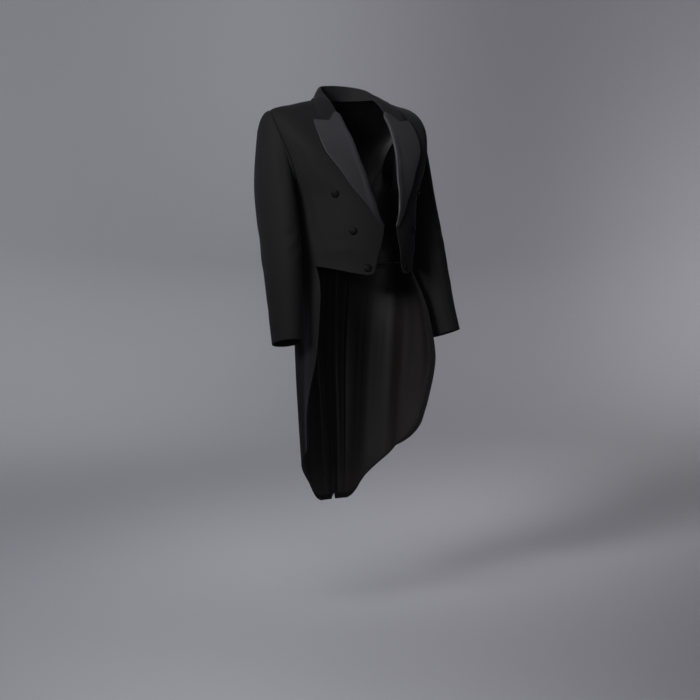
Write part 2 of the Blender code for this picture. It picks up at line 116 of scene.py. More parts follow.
# outer_x, outer_z, inner_x, inner_z, mid_y, half_depth, tilt, power, egg
SLEEVE = np.array((
    (236, -57, 178, -248, -6, 65, 0, 2.1, 0.16),
    (241, -93, 176, -262, -8, 69, 1, 2.1, 0.15),
    (246, -147, 174, -284, -12, 74, 3, 2.1, 0.1),
    (250, -206, 172, -312, -19, 77, 6, 2.1, 0.05),
    (254, -276, 173, -352, -34, 74, 10, 2.1, 0),
    (259, -346, 178, -395, -53, 69, 14, 2.1, 0),
    (263, -410, 186, -445, -70, 63, 16, 2.1, 0),
    (267, -475, 193, -495, -86, 57, 16, 2.1, 0),
    (272, -540, 201, -552, -103, 51, 16, 2.1, 0),
    (277, -598, 212, -606, -121, 46, 16, 2.1, 0),
), float)
HEAD_OUT = 6.0
HEAD_SWELL = 0.5
TOP_SLEEVE_TURNS = (-105, 105)
UNDER_SLEEVE_TURNS = (105, 255)

# angle, fold_x, fold_y, fold_z, edge_angle, edge_level, on_form, notch
COLLAR = np.array((
    (55, 77, -84, -31, 56.5, 1.0, 1.0, 1.0),
    (63, 77.5, -70, -15, 61, 0.9, 0.7, 0.3),
    (74, 77.5, -52, -1, 71, 0.68, 0.3, 0.0),
    (90, 76, -34, 9, 90, 0.42, 0.0, 0.0),
    (115, 69, -8, 21, 115, 0.3, 0.0, 0.0),
    (140, 51, 20, 28, 140, 0.28, 0.0, 0.0),
    (160, 27, 32, 31, 160, 0.27, 0.0, 0.0),
    (180, 0, 36, 32, 180, 0.27, 0.0, 0.0),
), float)

# Grid steps of the CAD panels; here each is cut FINE times finer.
FINE = 8
TRACE_STEPS = 48
CREASE_STEPS = 5
RAY_STEPS = 6
TAIL_STEPS = 11
SIDE_COLUMNS = 5
SKIRT_FRONT_COLUMNS = 3
NECK_FRONT_STEPS = 3
NECK_BACK_STEPS = 6
ROLL_STEPS = 9
FRONT_EDGE_STEPS = 3
FORE_HEM_STEPS = 6
LAPEL_STEPS = 12
GORGE_STEPS = 2
TAIL_CORNER_STEPS = 6
TAIL_CORNER_TO_SEAM = 2
BACK_FADE = 8
SKIRT_FADE = 3

# ---- sizes of the finish

CLOTH = 2.0
SATIN = 1.6
LINING = 1.0
INSET = 0.8          # a panel's flat face stops this far from its edge, and rolls over
# Extra grid lines beside an edge: distance from it, and the most share of a cell.
EDGE_LINES = ((1.0, 0.3), (2.8, 0.62))
RIM_ANGLES = (62, 28, -10, -48)
SEAM_DIP = 0.55      # the cloth sinks this much towards a pressed seam
SEAM_REACH = 3.4
ARM_SEAM = (0.5, 4.0)        # the same two at the armhole
BUTTON_PULL = (0.7, 9.0)     # and under a button

LAPEL_RISE = 2.9     # from the form to the middle of the lapel
LAPEL_ROLL = 3.2     # how far the fold stands off the cut edge inside it
LAPEL_BACK = 2.4     # inside the coat, from the form to the facing
FACING_WIDTH = 26.0
ROLL_PUFF = 1.5      # fullness of the lapel beside its roll
EDGE_LIFT = 0.9      # and the lift of its outer edge

COLLAR_RISE = 4.2
GORGE_RISE = 3.2
FOLD_WIDTH = 4.0
FALL_BULGE = 2.0

LINING_DROP = 3.7
LINING_EDGE_DROP = 1.7
LINING_EASE = 9.0
LINING_RIM = 0.5
TAIL_TURNED_IN = 13.0
VENT_TURNED_IN = 11.0
LAP_DROP = 2.3       # the right back sinks this much to pass under the left one
LAP_START = 5.0      # starting and ending this far from the middle
LAP_END = 0.5
LAP_LEVEL = 6.95     # and from this level down, in full a little lower
LAP_LEVELS = 0.3
FRONT_FACING = 70.0  # widths of the wool facings inside the fronts and the backs
VENT_FACING = 95.0
UNDER_LAPEL = 3.0    # the forepart's edge is hidden this much deeper under its lapel
HEM_TURNED_IN = 15.0
WAIST_TURNED_IN = 5.0

# name, angle, level
BUTTONS = (("top", 43, 3.75), ("middle", 34, 5.2), ("bottom", 22.5, 6.85), ("back", 163.5, 6.62))

CREASE_GAIN = 1.35   # all creases are this much stronger than their tables say
# Creases of the body and tails: height (below 0 a trough), half width, its line of places.
CREASES = (
    # front dart and the fullness on each side of it
    (-0.75, 2.2, ((50, 4.35), (49, 5.2), (47.5, 6.0), (45.5, 6.95))),
    (1.0, 11.0, ((54, 4.5), (53.5, 5.3), (52.5, 6.1), (50, 6.9))),
    (0.7, 13.0, ((44, 4.6), (42.5, 5.5), (40, 6.4))),
    # drape below the front of the armhole
    (1.7, 13.0, ((66, 3.0), (64, 3.9), (62, 4.9), (60, 5.6))),
    (-1.5, 11.0, ((72, 3.5), (70.5, 4.3), (69, 5.3), (66, 6.3))),
    (1.3, 10.0, ((78, 4.2), (77, 5.1), (75, 6.1))),
    (-1.0, 9.0, ((84, 4.5), (84, 5.4), (82, 6.4))),
    # soft pulls towards the middle button and the waist
    (-0.9, 7.5, ((58, 5.4), (50, 5.7), (42, 5.6), (36, 5.35))),
    (0.8, 9.0, ((60, 5.8), (50, 6.15), (40, 6.1), (31, 5.9))),
    (-0.8, 7.0, ((88, 6.35), (76, 6.5), (64, 6.45))),
    (0.8, 8.0, ((90, 6.0), (78, 6.15), (68, 6.1))),
    # chest above the buttons
    (0.9, 15.0, ((52, 2.2), (50, 2.9), (47, 3.5))),
    (-0.8, 12.0, ((60, 2.0), (58, 2.7), (57, 3.4))),
    # back: below the armhole, across the waist and under the collar
    (-1.9, 10.0, ((127, 3.3), (130, 4.1), (136, 5.0), (142, 5.8))),
    (1.6, 14.0, ((136, 2.8), (141, 3.7), (147, 4.6), (152, 5.4))),
    (-1.3, 12.0, ((148, 2.6), (153, 3.6), (158, 4.6))),
    (1.1, 13.0, ((160, 3.0), (163, 4.0), (166, 5.2))),
    (-1.3, 8.0, ((108, 6.2), (124, 6.45), (142, 6.4), (160, 6.3))),
    (1.1, 9.0, ((104, 5.8), (122, 6.0), (140, 5.95))),
    (0.9, 8.0, ((176, 0.62), (160, 0.66), (142, 0.72))),
    (-0.8, 9.0, ((176, 1.0), (158, 1.05), (140, 1.1))),
    # tails: long soft flutes that widen downwards
    (1.5, 12.0, ((72, 7.15), (68, 8.2), (67, 9.4), (72, 10.6))),
    (-1.7, 14.0, ((84, 7.2), (83, 8.6), (85, 10.2), (90, 11.4))),
    (1.9, 17.0, ((98, 7.15), (100, 8.8), (104, 10.6), (110, 11.9))),
    (-2.0, 15.0, ((116, 7.3), (119, 9.0), (123, 10.8), (129, 12.2))),
    (1.8, 16.0, ((133, 7.4), (137, 9.4), (141, 11.3), (146, 12.6))),
    (-1.6, 12.0, ((148, 7.6), (152, 9.6), (155, 11.4), (158, 12.8))),
    # the pressed pleat at the back seam of the tail
    (1.5, 5.0, ((160.5, 7.05), (162.5, 8.6), (164.5, 10.6), (166.4, 12.95))),
    (1.2, 15.0, ((172, 7.6), (173, 9.4), (173.5, 11.2), (173.5, 12.8))),
    (-1.0, 9.0, ((177.5, 5.4), (177.5, 6.6), (177.5, 7.4))),
)

# Creases of a sleeve: height, half width, its line of (turn, row); row 0 is SLEEVE's first.
SLEEVE_CREASES = (
    (-1.3, 12.0, ((58, 0.6), (62, 1.8), (64, 3.2))),
    (1.3, 13.0, ((36, 0.8), (40, 2.0), (44, 3.4))),
    (-1.7, 12.0, ((-62, 0.5), (-70, 1.6), (-74, 3.0))),
    (1.4, 12.0, ((-84, 1.2), (-88, 2.4), (-88, 3.8))),
    (-1.7, 8.0, ((104, 4.35), (84, 4.6), (62, 4.95), (40, 5.05))),
    (1.4, 8.0, ((106, 4.7), (86, 4.95), (66, 5.3), (48, 5.45))),
    (-1.5, 7.0, ((108, 5.1), (88, 5.35), (68, 5.7))),
    (1.0, 8.0, ((104, 5.5), (86, 5.8), (70, 6.15))),
    (-1.0, 9.0, ((-60, 4.3), (-46, 4.9), (-30, 5.3))),
    (1.1, 11.0, ((-70, 4.9), (-56, 5.5), (-38, 6.0))),
    (-0.9, 9.0, ((48, 6.3), (26, 6.75), (2, 6.9))),
    (0.8, 10.0, ((56, 6.8), (36, 7.2), (10, 7.4))),
    (-0.7, 8.0, ((-34, 7.2), (-52, 7.8), (-66, 8.1))),
    (-0.8, 9.0, ((150, 1.4), (156, 2.6), (160, 4.0))),
    (0.9, 11.0, ((196, 1.2), (200, 2.6), (204, 4.2))),
    (-1.1, 9.0, ((150, 4.5), (176, 4.9), (204, 5.0))),
    (0.8, 9.0, ((150, 5.1), (180, 5.5), (208, 5.6))),
    # the eased cloth below the seam of the sleeve head
    (0.35, 4.0, ((-46, -0.6), (-44, -0.1), (-43, 0.5))),
    (-0.35, 4.0, ((-34, -0.6), (-33, -0.1), (-32, 0.6))),
    (0.35, 4.0, ((-20, -0.6), (-19, -0.1), (-18, 0.5))),
    (-0.3, 4.0, ((-5, -0.6), (-4, -0.1), (-4, 0.4))),
    (0.35, 4.0, ((11, -0.6), (12, -0.1), (12, 0.5))),
    (-0.35, 4.0, ((26, -0.6), (27, -0.1), (27, 0.6))),
    (0.3, 4.0, ((41, -0.6), (42, -0.1), (42, 0.5))),
)


# ---- curves and the form

def smooth_rows(table, place):
    """Rows at fractional indices, on a Catmull-Rom curve through all the rows."""
    table = np.asarray(table, float)
    place = np.clip(np.asarray(place, float), 0, len(table) - 1)
    index = np.minimum(place.astype(int), len(table) - 2)
    t = (place - index)[..., None]
    start, end = table[index], table[index + 1]
    first = (index == 0)[..., None]
    last = (index + 2 >= len(table))[..., None]
    before = np.where(first, 2 * start - end, table[np.maximum(index - 1, 0)])
    after = np.where(last, 2 * end - start, table[np.minimum(index + 2, len(table) - 1)])
    return 0.5 * (2 * start + (end - before) * t
                  + (2 * before - 5 * start + 4 * end - after) * t ** 2
                  + (3 * start - before - 3 * end + after) * t ** 3)


def dense(line, steps):
    """The smooth curve through a line's points, with this many steps between two of them."""
    return smooth_rows(line, np.linspace(0, len(line) - 1, steps * (len(line) - 1) + 1))


def flat_ended(share):
    """A share of 0 to 1, made to start and end without a corner."""
    share = np.clip(share, 0, 1)
    return share * share * (3 - 2 * share)


def form(places):
    """Points of the form, in millimetres, on the wearer's left."""
    places = np.asarray(places, float)
    turn = np.radians(places[..., 0])
    ring = np.moveaxis(smooth_rows(RINGS, places[..., 1]), -1, 0)
    half, side_y, side_z, front_y, front_z, back_y, back_z, front_power, back_power, flare = ring
    sine, cosine = np.sin(turn), np.cos(turn)
    front = cosine > 0
    power = np.where(front, front_power, back_power)
    reach = (np.abs(sine) ** power + np.abs(cosine) ** power) ** (-1 / power)
    across, along = reach * sine, reach * np.abs(cosine)
    end_y, end_z = np.where(front, front_y, back_y), np.where(front, front_z, back_z)
    swing = np.where(front, flare * along ** FLARE_POWER, 0)
    return np.stack((half * across + swing, side_y + (end_y - side_y) * along,
                     side_z + (end_z - side_z) * along ** RING_DIP), -1)


ANGLE_STEP = 0.5
LEVEL_STEP = 0.01


def unit(vectors):
    return vectors / np.maximum(np.linalg.norm(vectors, axis=-1, keepdims=True), 1e-9)


def form_normal(places):
    places = np.asarray(places, float).copy()
    places[..., 1] = np.clip(places[..., 1], LEVEL_STEP, LAST_LEVEL - LEVEL_STEP)
    round_it = form(places + (ANGLE_STEP, 0)) - form(places - (ANGLE_STEP, 0))
    down_it = form(places + (0, LEVEL_STEP)) - form(places - (0, LEVEL_STEP))
    return unit(np.cross(down_it, round_it))


def lifted(place, height):
    return form(place) + form_normal(place) * height


def arcs(points, axis=0):
    """Length along lines of points, from 0."""
    steps = np.linalg.norm(np.diff(points, axis=axis), axis=-1)
    zero = np.zeros_like(np.take(steps, [0], axis))
    return np.concatenate((zero, np.cumsum(steps, axis)), axis)


def at_lengths(target, length, line):
    return np.stack([np.interp(target, length, part) for part in line.T], 1)


def trace(places, steps):
    """Places at even distances along the smooth curve through the given ones."""
    curve = dense(places, TRACE_STEPS)
    length = arcs(form(curve))
    return at_lengths(np.linspace(0, length[-1], steps * FINE + 1), length, curve)


def chain(*legs):
    return np.concatenate([legs[0]] + [leg[1:] for leg in legs[1:]])


def armhole(turn):
    turn_rad = np.radians(turn)
    side = np.sin(turn_rad)
    spread = np.where(side > 0, ARM_FRONT, ARM_BACK) * (1 - ARM_EGG * np.cos(turn_rad))
    middle = (ARM_TOP_LEVEL + ARM_FOOT_LEVEL) / 2
    half = (ARM_FOOT_LEVEL - ARM_TOP_LEVEL) / 2
    return np.stack((ARM_CENTRE - spread * side, middle - half * np.cos(turn_rad)), -1)


def arm_leg(first_step, last_step, finer=1):
    count = abs(last_step - first_step) * FINE * finer
    return armhole(np.linspace(first_step, last_step, count + 1) * 360 / ARM_STEPS)


ARM_TOP = tuple(armhole(0.0))
ARM_FOOT = tuple(armhole(180.0))
SPLIT = tuple(armhole(SPLIT_STEP * 360.0 / ARM_STEPS))


def patch(top, bottom, left, right, fade=1):
    """A grid of places between four edges, as in the CAD part."""
    u = np.linspace(0, 1, len(top))[None, :, None]
    v = np.linspace(0, 1, len(left))[:, None, None]
    row = left[:, None] * (1 - u) + right[:, None] * u
    top_bend = top[None] - (top[0] * (1 - u) + top[-1] * u)
    bottom_bend = bottom[None] - (bottom[0] * (1 - u) + bottom[-1] * u)
    return row + (1 - v) ** fade * top_bend + v ** fade * bottom_bend


# ---- relief: creases and seams

def near(points, line):
    """Distance from each point to a line of points, and how far along it, 0 to 1."""
    flat = points.reshape(-1, 3)
    best = np.full(len(flat), 1e9)
    share = np.zeros(len(flat))
    length = arcs(line)
    for i in range(len(line) - 1):
        start, step = line[i], line[i + 1] - line[i]
        t = np.clip(((flat - start) @ step) / max(step @ step, 1e-9), 0, 1)
        far = np.linalg.norm(flat - start - t[:, None] * step, axis=1)
        closer = far < best
        best = np.where(closer, far, best)
        along = length[i] + t * (length[i + 1] - length[i])
        share = np.where(closer, along / length[-1], share)
    return best.reshape(points.shape[:-1]), share.reshape(points.shape[:-1])


def soft_line(points, line, height, width, ends=True):
    """The height of a soft ridge along a line; with ends it fades out towards both of them."""
    reach = 3 * width
    low, high = line.min(0) - reach, line.max(0) + reach
    close = ((points > low) & (points < high)).all(-1)
    made = np.zeros(points.shape[:-1])
    if close.any():
        far, share = near(points[close], line)
        fade = np.sin(math.pi * np.clip(share, 0, 1)) ** 0.8 if ends else 1
        made[close] = height * np.exp(-(far / width) ** 2) * fade
    return made


VARIED_STRENGTH = 0.28
VARIED_ANGLE = 2.2
VARIED_LEVEL = 0.1
# Where in the run of variations the creases of the sleeves and of the linings start.
SLEEVE_VARIETY = 40
LINING_VARIETY = 70


def varied(index, side):
    """The wearer's left half has like creases, a little apart in place and strength."""
    if side < 0:
        return 1.0, np.array((0.0, 0.0))
    wave = math.sin(2.4 * index + 0.7)
    shift = np.array((VARIED_ANGLE * math.cos(1.7 * index), VARIED_LEVEL * wave))
    return 1 + VARIED_STRENGTH * wave, shift


CREASE_LINES = {}
for side, _ in HANDS:
    rows = []
    for index, (height, width, places) in enumerate(CREASES):
        strength, shift = varied(index, side)
        line = dense(places, CREASE_STEPS)
        rows.append((height * strength * CREASE_GAIN, width, form(line + shift)))
    CREASE_LINES[side] = rows

SEAM_LINES = [form(line) for line in (
    trace((SIDE_NECK, ARM_TOP), 2),
    trace((ARM_FOOT, SIDE_SEAM_FOOT), 2),
    trace((SPLIT,) + BACK_SEAM, 3),
    trace((BACK_SEAM_FOOT, HEM_BACK_SEAM), 2),
    trace((WAIST_CORNER, SIDE_SEAM_FOOT), 1),
    trace((SIDE_SEAM_FOOT, BACK_SEAM_FOOT), 2),
    trace((NAPE, BLADE, BACK_WAIST), 3),
)]
ARM_LINE = form(arm_leg(0, ARM_STEPS))


def relief(places, side, seams=True):
    """How far the cloth stands off the form, in millimetres."""
    points = form(places)
    height = np.zeros(points.shape[:-1])
    for rise, width, line in CREASE_LINES[side]:
        height += soft_line(points, line, rise, width)
    if seams:
        for line in SEAM_LINES:
            height -= soft_line(points, line, SEAM_DIP, SEAM_REACH, ends=False)
        height -= soft_line(points, ARM_LINE, *ARM_SEAM, ends=False)
    pull, reach = BUTTON_PULL
    for _, angle, level in BUTTONS[:3]:
        far = np.linalg.norm(points - form((angle, level)), axis=-1)
        height -= pull * np.exp(-(far / reach) ** 2)
    return height


# ---- cloth meshes

def tightened(grid, at=form):
    """The grid of places with extra lines close to its four edges."""
    for axis in (0, 1):
        for end in (0, 1):
            lines = np.moveaxis(grid, axis, 0)
            lines = lines[::-1] if end else lines
            cell = np.maximum(np.linalg.norm(at(lines[1]) - at(lines[0]), axis=-1), 1e-6)
            extra = [lines[0] + (lines[1] - lines[0]) * np.minimum(far / cell, most)[:, None]
                     for far, most in EDGE_LINES]
            lines = np.concatenate((lines[:1], extra, lines[1:]))
            lines = lines[::-1] if end else lines
            grid = np.moveaxis(lines, 0, axis)
    return grid


def squeezed(grid, gaps, at=form):
    """Draws a grid's edges in along its own lines, by gaps at top, bottom, left and right."""
    top, bottom, left, right = gaps
    for axis, first, last in ((0, left, right), (1, top, bottom)):
        lines = np.moveaxis(grid, axis, 0)
        first, last = (np.broadcast_to(np.asarray(gap, float), len(lines)) for gap in (first, last))
        moved = []
        for line, near_gap, far_gap in zip(lines, first, last):
            length = arcs(at(line))
            target = near_gap + (length[-1] - near_gap - far_gap) * length / length[-1]
            moved.append(at_lengths(target, length, line))
        grid = np.moveaxis(np.stack(moved), 0, axis)
    return grid


def grid_normals(points, guide):
    across = np.gradient(points, axis=1)
    down = np.gradient(points, axis=0)
    found = unit(np.cross(down, across))
    facing = (found * guide).sum(-1, keepdims=True)
    found = np.where(facing < 0, -found, found)
    return unit(np.where(np.abs(facing) < 0.2, guide, found))


def loop_of(rows, columns):
    """Rows and columns of the points round a grid's boundary."""
    top = [(0, i) for i in range(columns - 1)]
    right = [(j, columns - 1) for j in range(rows - 1)]
    bottom = [(rows - 1, i) for i in range(columns - 1, 0, -1)]
    left = [(j, 0) for j in range(rows - 1, 0, -1)]
    return np.array(top + right + bottom + left).T


UV_UNIT = 0.01       # one unit of the UV map is 100 mm of cloth


def mesh_object(name, vertices, faces, looks, side=1, spots=None, slots=None, scale=MM):
    """A smooth object; side -1 is the wearer's right, spots are places on the flat cloth."""
    mesh = bpy.data.meshes.new(name)
    mesh.from_pydata((np.asarray(vertices) * (side, 1, 1) * scale).tolist(), [], faces)
    for look in looks:
        mesh.materials.append(look)
    if slots is not None:
        mesh.polygons.foreach_set("material_index", slots)
    layer = mesh.uv_layers.new(name="cloth")
    if spots is not None:
        corners = np.zeros(len(mesh.loops), np.int32)
        mesh.loops.foreach_get("vertex_index", corners)
        flat = np.asarray(spots)[corners] * UV_UNIT
        layer.uv.foreach_set("vector", flat.astype(np.float32).ravel())
    mesh.shade_smooth()
    mesh.update()
    made = bpy.data.objects.new(name, mesh)
    bpy.context.scene.collection.objects.link(made)
    return made


def shell(name, points, guide, thickness, looks, side, uv=None, rim=INSET, inner_look=None):
    """A closed wall of cloth round a grid of points: two faces and a rounded rim.

    inner_look is a grid of bools for the cells whose inner face wears the second look.
    """
    rows, columns = points.shape[:2]
    normals = grid_normals(points, guide)
    half = thickness / 2
    outer, inner = points + normals * half, points - normals * half
    if uv is None:
        uv = np.stack((arcs(points, 1), arcs(points, 0)), -1)
    j, i = loop_of(rows, columns)
    ring, ring_normal, ring_uv = points[j, i], normals[j, i], uv[j, i]
    tangent = unit(np.roll(ring, -1, 0) - np.roll(ring, 1, 0))
    outward = unit(np.cross(tangent, ring_normal))
    inward = unit(points[np.clip(j, 1, rows - 2), np.clip(i, 1, columns - 2)] - ring)
    outward = np.where((outward * inward).sum(-1, keepdims=True) > 0, -outward, outward)
    rims = [ring + outward * rim * math.cos(a) + ring_normal * half * math.sin(a)
            for a in map(math.radians, RIM_ANGLES)]
    vertices = np.concatenate([outer.reshape(-1, 3), inner.reshape(-1, 3)] + rims)
    spots = np.concatenate([uv.reshape(-1, 2)] * 2 + [ring_uv] * len(rims))
    count = rows * columns
    index = np.arange(count).reshape(rows, columns)
    a, b, c, d = index[:-1, :-1], index[1:, :-1], index[1:, 1:], index[:-1, 1:]
    faces = [np.stack((a, b, c, d), -1).reshape(-1, 4),
             np.stack((a, d, c, b), -1).reshape(-1, 4) + count]
    belts = [2 * count + len(ring) * k + np.arange(len(ring)) for k in range(len(rims))]
    belts = [index[j, i]] + belts + [index[j, i] + count]
    for upper, lower in zip(belts, belts[1:]):
        faces.append(np.stack((upper, np.roll(upper, -1), np.roll(lower, -1), lower), -1))
    faces = np.concatenate(faces)
    # The winding that faces outwards on the wearer's left, and its mirror on the right.
    corner = vertices[faces[0]]
    facing = np.cross(corner[1] - corner[0], corner[2] - corner[0]) @ guide[0, 0]
    if (facing < 0) != (side < 0):
        faces = faces[:, ::-1]
    slots = None
    if inner_look is not None:
        cells = (rows - 1) * (columns - 1)
        slots = np.zeros(len(faces), np.int32)
        slots[cells:2 * cells] = inner_look.reshape(-1)
    return mesh_object(name, vertices, faces.tolist(), looks, side, spots, slots)


def turned_faces(sides, rings, closed):
    """Faces of a surface of revolution whose points are its pole, its rings and a last pole."""
    faces = []
    for k in range(sides):
        after = (k + 1) % sides
        faces.append((0, 1 + k, 1 + after))
        for ring in range(rings - 1):
            a, b = 1 + ring * sides + k, 1 + ring * sides + after
            faces.append((a, a + sides, b + sides, b))
        if closed:
            last = 1 + (rings - 1) * sides
            faces.append((last + k, last + sides, last + after))
    return faces


ANGLE_CELL = 5       # grain_uv's own grid: degrees of a cell, and cells a level
LEVEL_CELLS = 10
BODY_RADIUS = 165.0


def grain_uv(places):
    """Cloth directions on the body: round the wearer and down, in millimetres."""
    angles = np.linspace(0, 180, 180 // ANGLE_CELL + 1)
    levels = np.linspace(0, LAST_LEVEL, LEVEL_CELLS * LAST_LEVEL + 1)
    grid = np.stack(np.meshgrid(angles, levels, indexing="ij"), -1)
    down = arcs(form(grid), 1)
    a = np.clip(places[..., 0] / ANGLE_CELL, 0, len(angles) - 1.001)
    b = np.clip(places[..., 1] * LEVEL_CELLS, 0, len(levels) - 1.001)
    i, j = a.astype(int), b.astype(int)
    s, t = a - i, b - j
    depth = ((1 - s) * (1 - t) * down[i, j] + s * (1 - t) * down[i + 1, j]
             + (1 - s) * t * down[i, j + 1] + s * t * down[i + 1, j + 1])
    return np.stack((np.radians(places[..., 0]) * BODY_RADIUS, depth), -1)


# ---- looks

def new_material(name, colour, roughness):
    made = bpy.data.materials.new(name)
    made.use_nodes = True
    shader = made.node_tree.nodes["Principled BSDF"]
    shader.inputs["Base Color"].default_value = (*colour, 1)
    shader.inputs["Roughness"].default_value = roughness
    return made, made.node_tree, shader


def add(tree, kind, settings=(), values=()):
    made = tree.nodes.new(kind)
    for key, value in dict(settings).items():
        setattr(made, key, value)
    for key, value in dict(values).items():
        made.inputs[key].default_value = value
    return made


def maths(tree, operation, first, second=None, third=None):
    made = add(tree, "ShaderNodeMath", {"operation": operation})
    for socket, value in zip(made.inputs, (first, second, third)):
        if value is None:
            continue
        if isinstance(value, (int, float)):
            socket.default_value = value
        else:
            tree.links.new(value, socket)
    return made.outputs[0]


def cloth_axes(tree):
    """Distances across and down the cloth, in millimetres."""
    spot = add(tree, "ShaderNodeUVMap", {"uv_map": "cloth"})
    parts = add(tree, "ShaderNodeSeparateXYZ")
    tree.links.new(spot.outputs["UV"], parts.inputs[0])
    return [maths(tree, "MULTIPLY", part, 1 / UV_UNIT) for part in list(parts.outputs)[:2]]


def wave(tree, distance, pitch):
    return maths(tree, "SINE", maths(tree, "MULTIPLY", distance, 2 * math.pi / pitch))


def noise(tree, scale, detail=2.0, roughness=0.5, stretch=None):
    spot = add(tree, "ShaderNodeTexCoord")
    source = spot.outputs["Object"]
    if stretch is not None:
        mapping = add(tree, "ShaderNodeMapping", (), {"Scale": stretch})
        tree.links.new(source, mapping.inputs[0])
        source = mapping.outputs[0]
    made = add(tree, "ShaderNodeTexNoise", (),
               {"Scale": scale, "Detail": detail, "Roughness": roughness})
    tree.links.new(source, made.inputs["Vector"])
    return made.outputs["Fac"]


def ranged(tree, value, low, high):
    made = add(tree, "ShaderNodeMapRange", (), {"To Min": low, "To Max": high})
    tree.links.new(value, made.inputs["Value"])
    return made.outputs["Result"]


def tinted(tree, shader, colour, amount):
    """The base colour, lighter or darker by a factor that varies over the surface."""
    made = add(tree, "ShaderNodeVectorMath", {"operation": "SCALE"})
    made.inputs[0].default_value = colour
    tree.links.new(amount, made.inputs["Scale"])
    tree.links.new(made.outputs[0], shader.inputs["Base Color"])
    return made


def bumped(tree, shader, layers):
    """Layers of (height, strength, distance in metres), coarsest first."""
    before = None
    for height, strength, distance in layers:
        made = add(tree, "ShaderNodeBump", (), {"Strength": strength, "Distance": distance})
        tree.links.new(height, made.inputs["Height"])
        if before is not None:
            tree.links.new(before, made.inputs["Normal"])
        before = made.outputs[0]
    tree.links.new(before, shader.inputs["Normal"])


def ramp(tree, value, low, high, below, above):
    """A factor that runs smoothly from one value at low to another at high."""
    made = add(tree, "ShaderNodeMapRange", {"interpolation_type": "SMOOTHSTEP"},
               {"From Min": low, "From Max": high, "To Min": below, "To Max": above})
    tree.links.new(value, made.inputs["Value"])
    return made.outputs["Result"]


def by_height(tree, low, high, below, above):
    """A factor that runs from one value at a low height, in metres, to another at a high one."""
    spot = add(tree, "ShaderNodeTexCoord")
    parts = add(tree, "ShaderNodeSeparateXYZ")
    tree.links.new(spot.outputs["Object"], parts.inputs[0])
    return ramp(tree, parts.outputs[2], low, high, below, above)


def set_shine(shader, specular, sheen, sheen_roughness, sheen_tint):
    shader.inputs["Specular IOR Level"].default_value = specular
    shader.inputs["Sheen Weight"].default_value = sheen
    shader.inputs["Sheen Roughness"].default_value = sheen_roughness
    shader.inputs["Sheen Tint"].default_value = (*sheen_tint, 1)


# Pitches in millimetres; noise scales are cycles a metre.
WOOL_ROUGHNESS = 0.78
WOOL_SPECULAR = 0.055
TWILL_PITCH = 1.15
TWILL_SLANT = 0.62
THREAD_PITCH = 0.7
NAP_SCALE = 620.0
WEAVE_SHADE = 0.07


def wool_look(name, colour, sheen):
    """Worsted wool: a fine broken twill with a slight nap."""
    made, tree, shader = new_material(name, colour, WOOL_ROUGHNESS)
    set_shine(shader, WOOL_SPECULAR, sheen, 0.42, (0.82, 0.84, 0.95))
    across, down = cloth_axes(tree)
    slant = maths(tree, "ADD", across, maths(tree, "MULTIPLY", down, TWILL_SLANT))
    weave = maths(tree, "ADD", maths(tree, "MULTIPLY", wave(tree, slant, TWILL_PITCH), 0.6),
                  maths(tree, "MULTIPLY", wave(tree, down, THREAD_PITCH), 0.4))
    nap = noise(tree, NAP_SCALE, 3.0, 0.65)
    clouds = noise(tree, 9.0, 3.0, 0.55)
    shade = maths(tree, "ADD", ranged(tree, clouds, 0.86, 1.14), ranged(tree, nap, -0.16, 0.16))
    shade = maths(tree, "ADD", shade, maths(tree, "MULTIPLY", weave, WEAVE_SHADE))
    tinted(tree, shader, colour, shade)
    tree.links.new(ranged(tree, nap, 0.72, 0.86), shader.inputs["Roughness"])
    bumped(tree, shader, ((noise(tree, 42.0, 2.0), 0.25, 0.0006), (weave, 0.35, 0.00016),
                          (nap, 0.3, 0.00025)))
    return made


FLOAT_PITCH = 0.55
FLOAT_SLANT = 2.2
FLOAT_LENGTH = 2.4
ROUGHNESS_SPREAD = 0.05


def satin_look(name, colour, roughness, streak, specular, painted_light_heights):
    """Satin: long floats that catch the light, with a faint streak along the warp; the last
    argument paints light and shade into its colour by height.
    """
    made, tree, shader = new_material(name, colour, roughness)
    set_shine(shader, specular, 0.02, 0.3, (0.85, 0.88, 1.0))
    shader.inputs["Anisotropic"].default_value = 0.35
    across, down = cloth_axes(tree)
    slant = maths(tree, "ADD", down, maths(tree, "MULTIPLY", across, FLOAT_SLANT))
    floats = maths(tree, "MULTIPLY", wave(tree, across, FLOAT_PITCH),
                   wave(tree, slant, FLOAT_LENGTH))
    grain = noise(tree, streak, 3.0, 0.6, (1.0, 1.0, 0.06))
    clouds = noise(tree, 14.0, 2.0)
    shade = maths(tree, "ADD", ranged(tree, grain, 0.82, 1.18), ranged(tree, clouds, -0.1, 0.1))
    # painted light and shade: the colour is scaled by a factor that runs with height
    tinted(tree, shader, colour, maths(tree, "MULTIPLY", shade, by_height(tree, *painted_light_heights)))
    rough = ranged(tree, grain, roughness - ROUGHNESS_SPREAD, roughness + ROUGHNESS_SPREAD)
    rough = maths(tree, "ADD", rough, ranged(tree, clouds, -0.03, 0.03))
    tree.links.new(rough, shader.inputs["Roughness"])
    bumped(tree, shader, ((noise(tree, 55.0, 2.0), 0.18, 0.0005), (grain, 0.12, 0.0002),
                          (floats, 0.2, 0.00008)))
    return made


# by_height's low, high, below and above, here with no painted light or shade
EVEN = (-1.0, 0.0, 1.0, 1.0)

